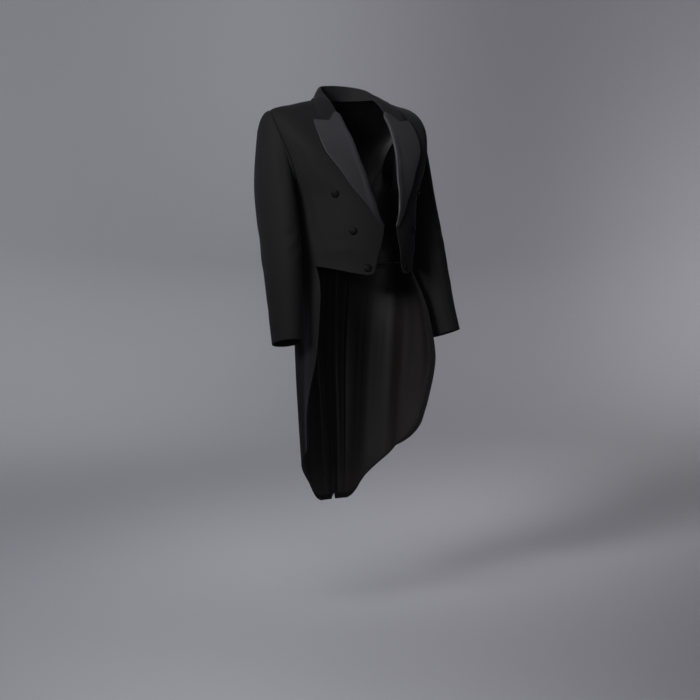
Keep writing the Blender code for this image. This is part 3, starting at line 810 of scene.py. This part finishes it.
WOOL = wool_look("black_wool", (0.0046, 0.0046, 0.0049), 0.022)
FELT = wool_look("black_collar_wool", (0.0048, 0.0046, 0.0051), 0.03)
# painted highlight and shade: the lapels' satin is painted lighter towards the top and darker lower
# down, by height
SILK = satin_look("black_satin", (0.0118, 0.0114, 0.0132), 0.48, 260.0, 0.20,
                  (-0.33, -0.08, 0.35, 1.35))
BODY_LINING = satin_look("black_body_lining", (0.0026, 0.0025, 0.0026), 0.50, 180.0, 0.12, EVEN)
# painted light: the tail lining is painted lighter towards the hem, by height
TAIL_SATIN = satin_look("black_tail_lining", (0.0048, 0.0042, 0.0040), 0.50, 180.0, 0.10,
                        (-1.0, -0.55, 1.8, 0.85))
# painted shade: the buttons' black satin is painted far darker than the lapels' satin, for the
# shade they sit in
COVER = satin_look("black_button_cover", (0.0010, 0.0010, 0.0011), 0.60, 420.0, 0.05, EVEN)
THREAD = wool_look("black_thread", (0.0060, 0.0060, 0.0064), 0.03)


# ---- panels of the body

def forepart_places():
    top = trace((SIDE_NECK, ARM_TOP), RAY_STEPS)
    bottom = trace((SIDE_SEAM_FOOT, ARM_FOOT), RAY_STEPS)
    left = chain(trace(NECK_FRONT, NECK_FRONT_STEPS), trace(ROLL_LINE, ROLL_STEPS),
                 trace(FRONT_EDGE, FRONT_EDGE_STEPS), trace(FORE_HEM, FORE_HEM_STEPS),
                 trace((WAIST_CORNER, SIDE_SEAM_FOOT), SKIRT_FRONT_COLUMNS))
    return patch(top, bottom, left, arm_leg(0, FORE_ARM_STEPS, 2))


def side_body_places():
    top = arm_leg(FORE_ARM_STEPS, SPLIT_STEP)
    left = trace((ARM_FOOT, SIDE_SEAM_FOOT), RAY_STEPS)
    right = trace((SPLIT,) + BACK_SEAM, RAY_STEPS)
    return patch(top, trace((SIDE_SEAM_FOOT, BACK_SEAM_FOOT), SIDE_COLUMNS), left, right)


def back_places(vent=VENT_EDGE):
    arm = arm_leg(ARM_STEPS, SPLIT_STEP)
    top = trace((ARM_TOP, SIDE_NECK), RAY_STEPS)
    left = chain(arm, trace((SPLIT,) + BACK_SEAM, RAY_STEPS),
                 trace((BACK_SEAM_FOOT, HEM_BACK_SEAM), TAIL_STEPS))
    right = chain(trace((SIDE_NECK, NAPE), NECK_BACK_STEPS),
                  trace((NAPE, BLADE), ARM_STEPS - SPLIT_STEP - NECK_BACK_STEPS),
                  trace((BLADE, BACK_WAIST), RAY_STEPS), trace(vent, TAIL_STEPS))
    return patch(top, trace((HEM_BACK_SEAM, HEM_VENT), RAY_STEPS), left, right, BACK_FADE)


def skirt_places():
    top = chain(trace((WAIST_CORNER, SIDE_SEAM_FOOT), SKIRT_FRONT_COLUMNS),
                trace((SIDE_SEAM_FOOT, BACK_SEAM_FOOT), SIDE_COLUMNS))
    bottom = chain(trace(TAIL_CORNER, TAIL_CORNER_STEPS),
                   trace((TAIL_CORNER[-1], HEM_BACK_SEAM), TAIL_CORNER_TO_SEAM))
    right = trace((BACK_SEAM_FOOT, HEM_BACK_SEAM), TAIL_STEPS)
    return patch(top, bottom, trace(TAIL_EDGE, TAIL_STEPS), right, SKIRT_FADE)


def finished(made, node):
    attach(made, "root")
    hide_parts(node)
    return made


def facing_cells(places, edge, width):
    """False for the cells whose inner face is the wool facing, within a width of an edge line."""
    middle = (places[:-1, :-1] + places[1:, 1:]) / 2
    far, _ = near(form(middle), form(edge))
    return far > width


def lap_drop(places):
    """How far the right back sinks near the middle, below the waist."""
    past = flat_ended((LAP_START - form(places)[..., 0]) / (LAP_START - LAP_END))
    below = np.clip((places[..., 1] - LAP_LEVEL) / LAP_LEVELS, 0, 1)
    return LAP_DROP * past * below


def body_panel(name, side, hand, places, gaps, bare_edge=None, bare_width=0.0):
    places = tightened(squeezed(places, gaps))
    height = relief(places, side)
    if name == "back" and side < 0:
        height = height - lap_drop(places)
    guide = form_normal(places)
    points = form(places) + guide * height[..., None]
    looks, inner = [WOOL], None
    if bare_edge is not None:
        looks, inner = [WOOL, BODY_LINING], facing_cells(places, bare_edge, bare_width)
    made = shell(f"cloth_{name}_{hand}", points, guide, CLOTH, looks, side, grain_uv(places),
                 inner_look=inner)
    return finished(made, f"{name}_{hand}")


COAT_FRONT = chain(trace(ROLL_LINE, 4), trace(FRONT_EDGE, 2))
BACK_MIDDLE = trace((BACK_WAIST, HEM_VENT), 3)
EVEN_GAPS = (INSET,) * 4

for side, hand in HANDS:
    places = forepart_places()
    left_gap = np.full(places.shape[0], INSET)
    first_roll, last_roll = NECK_FRONT_STEPS * FINE, (NECK_FRONT_STEPS + ROLL_STEPS) * FINE
    under_lapel = np.sin(np.linspace(0, math.pi, last_roll - first_roll + 1)) ** 0.4
    left_gap[first_roll:last_roll + 1] += UNDER_LAPEL * under_lapel
    gaps = (INSET, INSET, left_gap, INSET)
    body_panel("forepart", side, hand, places, gaps,
               COAT_FRONT, FRONT_FACING)
    body_panel("side_body", side, hand, side_body_places(), EVEN_GAPS,
               COAT_FRONT)
    places = back_places(LAP_EDGE if side < 0 else VENT_EDGE)
    body_panel("back", side, hand, places, EVEN_GAPS,
               BACK_MIDDLE, VENT_FACING)
    body_panel("skirt", side, hand, skirt_places(), EVEN_GAPS)


# ---- sleeves

def sleeve_ring(rows, turn):
    """Points of the sleeve; turn 0 is the outer side, 90 the front."""
    columns = np.moveaxis(rows, -1, 0)
    outer_x, outer_z, inner_x, inner_z, mid_y, half_depth, tilt, power, egg = columns
    angle = np.radians(turn)
    cosine, sine = np.cos(angle), np.sin(angle)
    reach = (np.abs(cosine) ** power + np.abs(sine) ** power) ** (-1 / power)
    out = reach * cosine
    forward = reach * sine * half_depth * (1 - egg * out)
    lean = np.radians(tilt)
    level = (outer_z + inner_z) / 2 + (outer_z - inner_z) / 2 * out
    return np.stack(((outer_x + inner_x) / 2 + (outer_x - inner_x) / 2 * out,
                     mid_y - forward * np.cos(lean), level + forward * np.sin(lean)), -1)


SLEEVE_SEAT_GAP = 0.6
SEAT_OUT = 1.1
SEAT_TUCK = (-3.0, 0, 0)
HEAD_ROWS = 3        # the tucked edge, the seat and the head come before SLEEVE's first row
ROPE_RISE = 0.5      # the sleeve head's small roll beside its seam
ROPE_ROW = 1.35
ROPE_ROWS = 0.55
CROWN_REACH = 1.3    # it runs over the top of the sleeve only
TOP_ROW = -1.9       # no crease starts above this row
CUFF_FACING_ROW = 8.2
COLUMN_TURN = 15     # degrees of a column of the CAD sleeve, here in six
COLUMN_FINE = 6
EDGE_TURNS = np.array((0.5, 0.9, 1.8, 3.6))
SEAM_TURNS = (105, 255)
HEAD_FINE = (-3, -2.6, -2.25, -2, -1.7, -1.35, -1.0, -0.8, -0.6, -0.4, -0.2)
CUFF_FINE = (8.93, 8.962, 8.985)
LAST_ROW = len(SLEEVE) - 1
ROW_STEPS = 9
SLEEVE_ROWS = np.concatenate((HEAD_FINE, np.arange(LAST_ROW * ROW_STEPS) / ROW_STEPS, CUFF_FINE))


def sleeve_columns(turns):
    """For each turn, the points the sleeve passes through from inside the armhole to the cuff."""
    edge = form(armhole(turns))
    middle = (form(armhole(0.0)) + form(armhole(180.0))) / 2
    inwards = unit(middle - edge)
    seat = edge + inwards * SLEEVE_SEAT_GAP + (SEAT_OUT, 0, 0)
    head = edge - inwards * HEAD_SWELL + (HEAD_OUT, 0, 0)
    rings = [sleeve_ring(np.broadcast_to(row, (len(turns), len(row))), turns) for row in SLEEVE]
    tucked = seat + inwards + SEAT_TUCK
    return np.stack([tucked, seat, head] + rings)


def sleeve_points(turns, rows):
    """A grid of the sleeve; row -2 is its seat and row 0 SLEEVE's first."""
    columns = sleeve_columns(turns)
    flat = columns.reshape(len(columns), -1)
    return smooth_rows(flat, np.asarray(rows) + HEAD_ROWS).reshape(len(rows), len(turns), 3)


def sleeve_guide(points):
    """Roughly outwards from the sleeve's own middle line."""
    rows = points.shape[0]
    full = sleeve_points(np.arange(0, 360, 15.0), SLEEVE_ROWS)
    middle = full.mean(1)[:rows, None]
    return unit(points - middle)


def sleeve_panel(name, side, hand, turns):
    first, last = turns
    inner = np.linspace(first, last, (last - first) // COLUMN_TURN * COLUMN_FINE + 1)
    spots = np.sort(np.concatenate((first + EDGE_TURNS, inner[1:-1], last - EDGE_TURNS)))
    points = sleeve_points(spots, SLEEVE_ROWS)
    guide = grid_normals(points, sleeve_guide(points))
    height = np.zeros(points.shape[:2])
    for index, (rise, width, line) in enumerate(SLEEVE_CREASES):
        strength, shift = varied(index + SLEEVE_VARIETY, side)
        path = [sleeve_points(np.array((turn,)), np.array((max(row, TOP_ROW),)))[0, 0]
                for turn, row in dense(line, CREASE_STEPS) + shift * (1, 0.6)]
        height += soft_line(points, np.stack(path), rise * strength * CREASE_GAIN, width)
    for seam in SEAM_TURNS:
        for turn in (seam, seam - 360):
            if first - 1 <= turn <= last + 1:
                path = sleeve_points(np.array((turn,)), np.linspace(-1, LAST_ROW, 40))[:, 0]
                height -= soft_line(points, path, SEAM_DIP, SEAM_REACH, ends=False)
    crown = np.clip(np.cos(np.radians(spots)) * CROWN_REACH, 0, 1) ** 0.7
    rope = np.exp(-((SLEEVE_ROWS + ROPE_ROW) / ROPE_ROWS) ** 2)
    height += ROPE_RISE * rope[:, None] * crown[None]
    points = points + guide * height[..., None]
    across = arcs(sleeve_points(spots, np.array((2.0,))), 1)
    uv = np.stack((across.repeat(len(SLEEVE_ROWS), 0), arcs(points, 0)), -1)
    lined = np.broadcast_to((SLEEVE_ROWS[:-1] < CUFF_FACING_ROW)[:, None],
                            (len(SLEEVE_ROWS) - 1, len(spots) - 1))
    made = shell(f"cloth_{name}_{hand}", points, guide, CLOTH, [WOOL, BODY_LINING], side, uv,
                 inner_look=lined)
    return finished(made, f"{name}_{hand}")


for side, hand in HANDS:
    sleeve_panel("top_sleeve", side, hand, TOP_SLEEVE_TURNS)
    sleeve_panel("under_sleeve", side, hand, UNDER_SLEEVE_TURNS)


# ---- lapels

EDGE_EASING = 70     # rounds that smooth the table's corners out of the lapel's edge
LAPEL_GAPS = (0.5, INSET, 1.6, INSET)
ROLL_ANGLES = (90, 72, 54, 36, 18, 0, -18, -36, -54, -72, -90)
FACING_START = 2.0
FACING_COLUMNS = 7
MOST_WIDTH = 0.98    # the facing ends short of the lapel's own edge


def eased(line, rounds):
    """The line with its small corners smoothed away, its two ends kept."""
    for _ in range(rounds):
        line = np.concatenate((line[:1], (line[:-2] + 2 * line[1:-1] + line[2:]) / 4, line[-1:]))
    return line


def lapel_places():
    top = chain(trace((GORGE_START, NOTCH), GORGE_STEPS), trace((NOTCH, PEAK), GORGE_STEPS))
    bottom = trace((BREAK, LAPEL_EDGE[-1]), 2 * GORGE_STEPS)
    return patch(top, bottom, trace(ROLL_LINE, LAPEL_STEPS),
                 eased(trace(LAPEL_EDGE, LAPEL_STEPS), EDGE_EASING))


def lapel_points(side):
    """Rows from the facing inside the coat, round the roll, and out to the lapel's edge."""
    places = tightened(squeezed(lapel_places(), LAPEL_GAPS))
    # The roll needs no extra lines of its own.
    places = np.concatenate((places[:, :1], places[:, 1 + len(EDGE_LINES):]), 1)
    mid = form(places)
    guide = form_normal(places)
    across = arcs(mid, 1)
    width = across[:, -1:]
    beside_roll = np.exp(-((across - 7) / 8.0) ** 2)
    down = np.linspace(0, 1, len(places))[:, None]
    puff = ROLL_PUFF * (0.45 + 0.9 * down) * np.clip(width / 30, 0, 1)
    lift = EDGE_LIFT * np.clip(across / np.maximum(width, 1), 0, 1) ** 3
    height = LAPEL_RISE + relief(places, side, seams=False) + puff * beside_roll + lift
    outside = mid + guide * height[..., None]
    # Round the roll: a half circle from the facing to the outside.
    seat, up = mid[:, 0], guide[:, 0]
    away = unit(seat - mid[:, 1])
    away = unit(away - (away * up).sum(-1, keepdims=True) * up)
    centre = (height[:, 0] - LAPEL_BACK) / 2
    radius = (height[:, 0] + LAPEL_BACK) / 2
    bend, bend_guide = [], []
    for a in map(math.radians, ROLL_ANGLES[:0:-1]):
        risen = up * (centre + radius * math.sin(a))[:, None]
        bend.append(seat + away * (LAPEL_ROLL * math.cos(a)) + risen)
        bend_guide.append(away * math.cos(a) + up * math.sin(a))
    # The facing inside runs back under the lapel, along the same places.
    facing = []
    for far in np.linspace(FACING_WIDTH, FACING_START, FACING_COLUMNS):
        share = np.minimum(far / np.maximum(width[:, 0], 1e-6), MOST_WIDTH)
        line = np.array([at_lengths([part * length[-1]], length, row)[0]
                         for part, length, row in zip(share, across, places)])
        facing.append(form(line) - form_normal(line) * LAPEL_BACK)
    grid = np.concatenate((np.stack(facing + bend, 1), outside), 1)
    inside_guide = np.repeat(-guide[:, :1], len(facing), 1)
    return grid, np.concatenate((inside_guide, np.stack(bend_guide, 1), guide), 1)


for side, hand in HANDS:
    grid, guide = lapel_points(side)
    made = shell(f"silk_lapel_{hand}", grid, guide, SATIN, [SILK], side)
    finished(made, f"lapel_{hand}")


# ---- collar

COLLAR_FINE = 5
FOOT_IN = 1.6        # the foot lies this far inside the neck seam and below it
FOOT_DROP = 3.0
STAND_RISE = 4.0
CROWN_RISE = 1.3
CROWN_POINT = 4      # the crown's place among a section's points
FALL_POINTS = 5
FRONT_ANGLE = 70     # the fall comes down to the gorge's height over these degrees
FRONT_ANGLES = 15
NECK_MIDDLE = (0.0, -40.0, -10.0)


def collar_row(angle):
    return smooth_rows(COLLAR, np.interp(angle, COLLAR[:, 0], np.arange(len(COLLAR))))


def collar_section(before, seat, after):
    """Points of the collar at one place of the neck seam, from its foot to its outer edge."""
    angle, fold_x, fold_y, fold_z, edge_angle, edge_level, lying_share, notch = collar_row(seat[0])
    edge = np.array((edge_angle, edge_level))
    foot = form(seat)
    up = form_normal(seat)
    inward = unit(np.cross(up, form(after) - form(before)))
    fold = np.array((fold_x, fold_y, fold_z))
    front = np.clip((FRONT_ANGLE - seat[0]) / FRONT_ANGLES, 0, 1)
    rise = COLLAR_RISE + (GORGE_RISE - COLLAR_RISE) * front
    fall_edge = lifted(edge, rise)
    outward = unit((fall_edge - fold) * (1, 1, 0))
    inner_fold = fold - outward * FOLD_WIDTH / 2
    outer_fold = fold + outward * FOLD_WIDTH / 2
    crown = fold + (0, 0, CROWN_RISE)
    foot_in = foot + inward * FOOT_IN - up * FOOT_DROP
    stand = foot_in + up * STAND_RISE
    points = [foot_in, stand, stand * 0.5 + inner_fold * 0.5, inner_fold, crown]
    for t in np.linspace(0, 1, FALL_POINTS):
        bow = (outward + (0, 0, 1)) * FALL_BULGE * 4 * t * (1 - t)
        free = outer_fold * (1 - t) + fall_edge * t + bow
        seat_place, notch_place = np.asarray(seat, float), np.array(NOTCH, float)
        straight = seat_place * (1 - t) + edge * t
        if t < 0.5:
            by_notch = seat_place * (1 - 2 * t) + notch_place * 2 * t
        else:
            by_notch = notch_place * (2 - 2 * t) + edge * (2 * t - 1)
        lying = lifted(straight * (1 - notch) + by_notch * notch, rise)
        weight = lying_share + (1 - lying_share) * t * t
        points.append(free * (1 - weight) + lying * weight)
    return np.array(points)


neck = chain(trace(NECK_FRONT, NECK_FRONT_STEPS)[::-1], trace((SIDE_NECK, NAPE), NECK_BACK_STEPS))
sections = [collar_section(neck[max(i - 1, 0)], seat, neck[min(i + 1, len(neck) - 1)])
            for i, seat in enumerate(neck)]
sections = np.stack(sections)
sections = np.concatenate((sections, sections[-2::-1] * (-1, 1, 1)))
collar = dense(np.moveaxis(sections, 1, 0).reshape(sections.shape[1], -1), COLLAR_FINE)
collar = np.moveaxis(collar.reshape(len(collar), -1, 3), 0, 1)
collar = tightened(collar, lambda points: points)
fold_column = CROWN_POINT * COLLAR_FINE + len(EDGE_LINES)
stand_side = np.arange(collar.shape[1])[None, :, None] < fold_column
outwards = unit((collar[:, [fold_column]] - NECK_MIDDLE) * (1, 1, 0))
guide = np.where(stand_side, -outwards, outwards + (0, 0, 0.4))
guide[:, fold_column - 2:fold_column + 3] = (0, 0, 1)
made = shell("cloth_collar", collar, unit(guide), CLOTH, [FELT], 1)
finished(made, "collar")


# ---- tail linings

# Soft vertical folds of the loose lining: height, half width, its line of places.
LINING_FLUTES = (
    (0.9, 7.0, ((74, 7.4), (73, 9.0), (78, 11.0))),
    (-0.8, 6.0, ((86, 7.6), (88, 9.5), (94, 11.6))),
    (1.0, 7.0, ((97, 7.3), (101, 9.4), (108, 12.0))),
    (-0.8, 7.0, ((109, 8.0), (113, 10.2), (120, 12.4))),
    (0.9, 6.0, ((121, 7.5), (126, 9.8), (132, 12.4))),
    (-0.7, 6.0, ((133, 7.8), (138, 10.0), (143, 12.6))),
    (0.9, 6.0, ((145, 7.4), (149, 9.7), (154, 12.7))),
    (0.8, 5.0, ((168, 7.3), (170, 9.6), (172, 12.6))),
    (-0.7, 4.5, ((158, 7.6), (161, 10.0), (164, 12.7))),
)


LINING_GAPS = (WAIST_TURNED_IN, HEM_TURNED_IN, TAIL_TURNED_IN, VENT_TURNED_IN)


def lining_places():
    skirt, back = skirt_places(), back_places()[-TAIL_STEPS * FINE - 1:]
    whole = np.concatenate((skirt, back[:, 1:]), 1)
    return tightened(squeezed(whole, LINING_GAPS))


def edge_distance(points):
    across, down = arcs(points, 1), arcs(points, 0)
    return np.minimum.reduce((across, across[:, -1:] - across, down, down[-1:] - down))


FLUTE_SPOTS = 14
TAIL_LININGS = {}
for side, hand in HANDS:
    places = lining_places()
    mid = form(places)
    guide = form_normal(places)
    ease = flat_ended(edge_distance(mid) / LINING_EASE)
    flutes = np.zeros(mid.shape[:2])
    for index, (rise, width, line) in enumerate(LINING_FLUTES):
        strength, shift = varied(index + LINING_VARIETY, side)
        path = form(smooth_rows(line, np.linspace(0, len(line) - 1, FLUTE_SPOTS)) + shift)
        flutes += soft_line(mid, path, rise * strength, width)
    drop = LINING_EDGE_DROP + (LINING_DROP - LINING_EDGE_DROP) * ease
    height = relief(places, side) - drop - flutes * ease
    points = mid + guide * height[..., None]
    made = shell(f"silk_tail_lining_{hand}", points, guide, LINING, [TAIL_SATIN], side,
                 grain_uv(places), rim=LINING_RIM)
    finished(made, f"tail_lining_{hand}")
    TAIL_LININGS[hand] = (side, points, guide)


# ---- felling stitches round the lining

STITCH_EVERY = 5.0
STITCH_LONG = 2.6
STITCH_THICK = 0.35
STITCH_BOW = 0.35
STITCH_SIDES = 6
# Share of a stitch's length, and share of its thickness there.
STITCH_PROFILE = ((0, 0.35), (0.2, 1.0), (0.8, 1.0), (1, 0.35))
STITCH_MARGIN = 2.0  # no stitch starts this near to the ends of the edge
ONTO_CLOTH = 0.55    # share of a stitch that lies on the cloth, and the rest on the lining
CLOTH_END_RISE = 0.15
LINING_END_RISE = 0.75
INNER_POINT = 4      # a stitch points to the lining's grid point this far in


def stitches(name, lines, side, look):
    """Short rods of thread across an edge: each of the lines is a start, an end and its up."""
    vertices, faces = [], []
    sides, rings = STITCH_SIDES, len(STITCH_PROFILE)
    for start, end, up in lines:
        cross = unit(np.cross(unit(end - start), up))
        base = len(vertices)
        for share, thick in STITCH_PROFILE:
            middle = start + (end - start) * share + up * math.sin(math.pi * share) * STITCH_BOW
            for k in range(sides):
                a = 2 * math.pi * k / sides
                spoke = cross * math.cos(a) + up * math.sin(a)
                vertices.append(middle + spoke * STITCH_THICK * thick)
        for ring in range(rings - 1):
            for k in range(sides):
                a, b = base + ring * sides + k, base + ring * sides + (k + 1) % sides
                faces.append((a, b, b + sides, a + sides))
        faces.append(tuple(base + k for k in range(sides))[::-1])
        faces.append(tuple(base + (rings - 1) * sides + k for k in range(sides)))
    if side < 0:
        faces = [face[::-1] for face in faces]
    made = mesh_object(name, vertices, faces, [look], side)
    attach(made, "root")
    return made


for hand, (side, points, guide) in TAIL_LININGS.items():
    rows, columns = points.shape[:2]
    border_rows, border_columns = loop_of(rows, columns)
    ring, up = points[border_rows, border_columns], -guide[border_rows, border_columns]
    inner = points[np.clip(border_rows, INNER_POINT, rows - 1 - INNER_POINT),
                   np.clip(border_columns, INNER_POINT, columns - 1 - INNER_POINT)]
    length = arcs(ring)
    lines = []
    for target in np.arange(STITCH_MARGIN, length[-1] - STITCH_MARGIN, STITCH_EVERY):
        i = int(np.searchsorted(length, target))
        # The waist seam holds the top edge without stitches.
        if i >= len(ring) or border_rows[i] == 0:
            continue
        inwards = unit(inner[i] - ring[i])
        start = ring[i] - inwards * STITCH_LONG * ONTO_CLOTH + up[i] * CLOTH_END_RISE
        end = ring[i] + inwards * STITCH_LONG * (1 - ONTO_CLOTH) + up[i] * LINING_END_RISE
        lines.append((start, end, up[i]))
    stitches(f"felling_stitches_{hand}", lines, side, THREAD)


# ---- buttons

# A covered button's profile: distance from its middle, and height above the cloth.
BUTTON_PROFILE = ((0.0, 5.3), (2.2, 5.28), (4.4, 5.12), (6.4, 4.78), (8.0, 4.2), (9.2, 3.4),
                  (9.85, 2.5), (9.9, 1.8), (9.4, 1.15), (8.2, 0.85), (6.5, 1.0), (4.4, 1.1),
                  (3.4, 0.6), (3.2, -0.9), (0.0, -1.1))
BUTTON_FINE = 3
BUTTON_SIDES = 48
GATHERS = 16
GATHER_DEPTH = 0.018
GATHER_HEIGHT = 1.6  # the gathers are deepest at this height, outside this distance
GATHER_START = 6


def covered_button(name, place, side):
    """A domed button covered in satin, with small gathers under its rim and a short shank."""
    place = np.array(place, float)
    up = form_normal(place)
    centre = form(place) + up * (CLOTH / 2 + relief(place[None, None], side)[0, 0])
    down = unit(np.array((0, 0, -1.0)) - up * (up @ (0, 0, -1.0)))
    cross = np.cross(up, down)
    profile = dense(BUTTON_PROFILE, BUTTON_FINE)
    vertices, spots = [centre + up * profile[0][1]], [(0.0, 0.0)]
    for far, high in profile[1:-1]:
        under = math.exp(-(high - GATHER_HEIGHT) ** 2) * (far > GATHER_START)
        for k in range(BUTTON_SIDES):
            a = 2 * math.pi * k / BUTTON_SIDES
            gather = 1 + GATHER_DEPTH * under * math.cos(GATHERS * a)
            spoke = down * math.cos(a) + cross * math.sin(a)
            vertices.append(centre + up * high + spoke * max(far, 0.05) * gather)
            spots.append((far * math.cos(a), far * math.sin(a)))
    vertices.append(centre + up * profile[-1][1])
    spots.append((0.0, 0.0))
    faces = turned_faces(BUTTON_SIDES, len(profile) - 2, closed=True)
    if side < 0:
        faces = [face[::-1] for face in faces]
    return mesh_object(name, vertices, faces, [COVER], side, spots)


for side, hand in HANDS:
    for name, angle, level in BUTTONS:
        made = covered_button(f"satin_button_{name}_{hand}", (angle, level), side)
        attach(made, "root")
        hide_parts(f"button_{name}_{hand}")


# ---- floor, light and camera

FLOOR_Z = -1.34
PAPER = (0.74, 0.735, 0.79)
PAINTED_LIGHT_POOL = 1.22     # painted pool of light: the paper is painted this much lighter under the coat
PAINTED_SHADE = 0.54      # painted shade: and this much darker on the side away from the key
PAINTED_SHADE_SIDE = (0.82, -0.57, 0)
LIGHT_POOL_REACH = (0.6, 3.0)      # metres over which each of the two painted changes happens
PAINTED_SHADE_REACH = (-0.7, 1.3)
FLOOR_REACH = 3.6     # the floor is flat this far out, and then sweeps up into the wall
SWEEP = 4.4
SWEEP_STEPS = 12
WALL_TOP = 9.0
STUDIO_SIDES = 96


def studio():
    """A pale floor that sweeps up into a wall all round, so it is plain from every side; its colour
    carries a painted pool of light under the coat and painted shade on the side away from the key.
    """
    profile = [(1.5, FLOOR_Z), (FLOOR_REACH, FLOOR_Z)]
    for i in range(1, SWEEP_STEPS + 1):
        a = math.radians(90 / SWEEP_STEPS * i)
        profile.append((FLOOR_REACH + SWEEP * math.sin(a), FLOOR_Z + SWEEP * (1 - math.cos(a))))
    profile.append((FLOOR_REACH + SWEEP, WALL_TOP))
    vertices = [(0, 0, FLOOR_Z)]
    for far, high in profile:
        for k in range(STUDIO_SIDES):
            a = 2 * math.pi * k / STUDIO_SIDES
            vertices.append((far * math.cos(a), far * math.sin(a), high))
    look, tree, shader = new_material("pale_paper", PAPER, 0.9)
    spot = add(tree, "ShaderNodeTexCoord").outputs["Object"]
    flat = add(tree, "ShaderNodeVectorMath", {"operation": "MULTIPLY"}, {1: (1, 1, 0)})
    tree.links.new(spot, flat.inputs[0])
    reach = add(tree, "ShaderNodeVectorMath", {"operation": "LENGTH"})
    tree.links.new(flat.outputs[0], reach.inputs[0])
    aside = add(tree, "ShaderNodeVectorMath", {"operation": "DOT_PRODUCT"}, {1: PAINTED_SHADE_SIDE})
    tree.links.new(spot, aside.inputs[0])
    # painted pool of light under the coat and painted shade away from the key, scaled into the
    # paper's colour
    painted_light_pool = ramp(tree, reach.outputs["Value"], *LIGHT_POOL_REACH, PAINTED_LIGHT_POOL, 1.0)
    painted_shade_side = ramp(tree, aside.outputs["Value"], *PAINTED_SHADE_REACH, 1.0, PAINTED_SHADE)
    tinted(tree, shader, PAPER, maths(tree, "MULTIPLY", painted_light_pool, painted_shade_side))
    faces = turned_faces(STUDIO_SIDES, len(profile), closed=False)
    mesh_object("studio_floor", vertices, faces, [look], scale=1)


def softbox(name, place, target, size, energy, spread):
    light = bpy.data.lights.new(name, "AREA")
    light.shape = "RECTANGLE"
    light.size, light.size_y = size
    light.energy = energy
    light.spread = math.radians(spread)
    made = bpy.data.objects.new(name, light)
    made.location = place
    made.rotation_euler = (Vector(target) - Vector(place)).to_track_quat("-Z", "Y").to_euler()
    made.visible_camera = False
    bpy.context.scene.collection.objects.link(made)


# name, place, target, size, watts, spread in degrees
LIGHTS = (
    ("key", (-3.25, -1.55, 1.25), (0, 0, 0.32), (1.5, 1.7), 22, 29),
    ("top", (-2.5, -1.9, 2.9), (0, 0, 0), (1.8, 1.4), 4, 55),
    ("fill", (1.2, -4.8, 0.4), (0, 0, -0.7), (2.4, 2.0), 1.8, 180),
    ("back", (2.8, 4.2, 1.6), (0, 0, -0.2), (2.6, 2.6), 15, 180),
    ("wall_left", (1.5, 1.5, 2.4), (-0.8, 8.0, 1.0), (2.4, 2.4), 34, 120),
    ("wall_right", (1.0, 1.2, 2.6), (6.2, 4.6, 0.9), (2.0, 2.0), 19, 75),
    ("floor", (-1.9, -3.1, -0.2), (-0.8, -1.1, FLOOR_Z), (0.9, 0.9), 7.5, 75),
)
SKY = (0.93, 0.94, 1.0)
SKY_STRENGTH = 0.17

studio()
for light in LIGHTS:
    softbox(*light)

world = bpy.data.worlds.new("studio")
bpy.context.scene.world = world
world.use_nodes = True
sky = world.node_tree.nodes["Background"]
sky.inputs["Color"].default_value = (*SKY, 1)
sky.inputs["Strength"].default_value = SKY_STRENGTH
bpy.context.scene.view_settings.view_transform = "Standard"

CAMERA_AZIMUTH = math.radians(-35)
CAMERA_PITCH = math.radians(5.19)
CAMERA_AWAY = 5.25
CAMERA_HEIGHT = -0.164
CAMERA_LENS = 105.4
CAMERA_SENSOR = 36
CAMERA_SHIFT = 0.0133

camera = bpy.data.cameras.new("camera")
camera.lens = CAMERA_LENS
camera.sensor_width = CAMERA_SENSOR
camera.shift_x = CAMERA_SHIFT
camera.clip_end = 60
eye = bpy.data.objects.new("camera", camera)
sine, cosine = math.sin(CAMERA_AZIMUTH), math.cos(CAMERA_AZIMUTH)
eye.location = (sine * CAMERA_AWAY, -cosine * CAMERA_AWAY, CAMERA_HEIGHT)
ahead = Vector((-sine * math.cos(CAMERA_PITCH), cosine * math.cos(CAMERA_PITCH),
                -math.sin(CAMERA_PITCH)))
eye.rotation_euler = ahead.to_track_quat("-Z", "Y").to_euler()
bpy.context.scene.collection.objects.link(eye)
bpy.context.scene.camera = eye
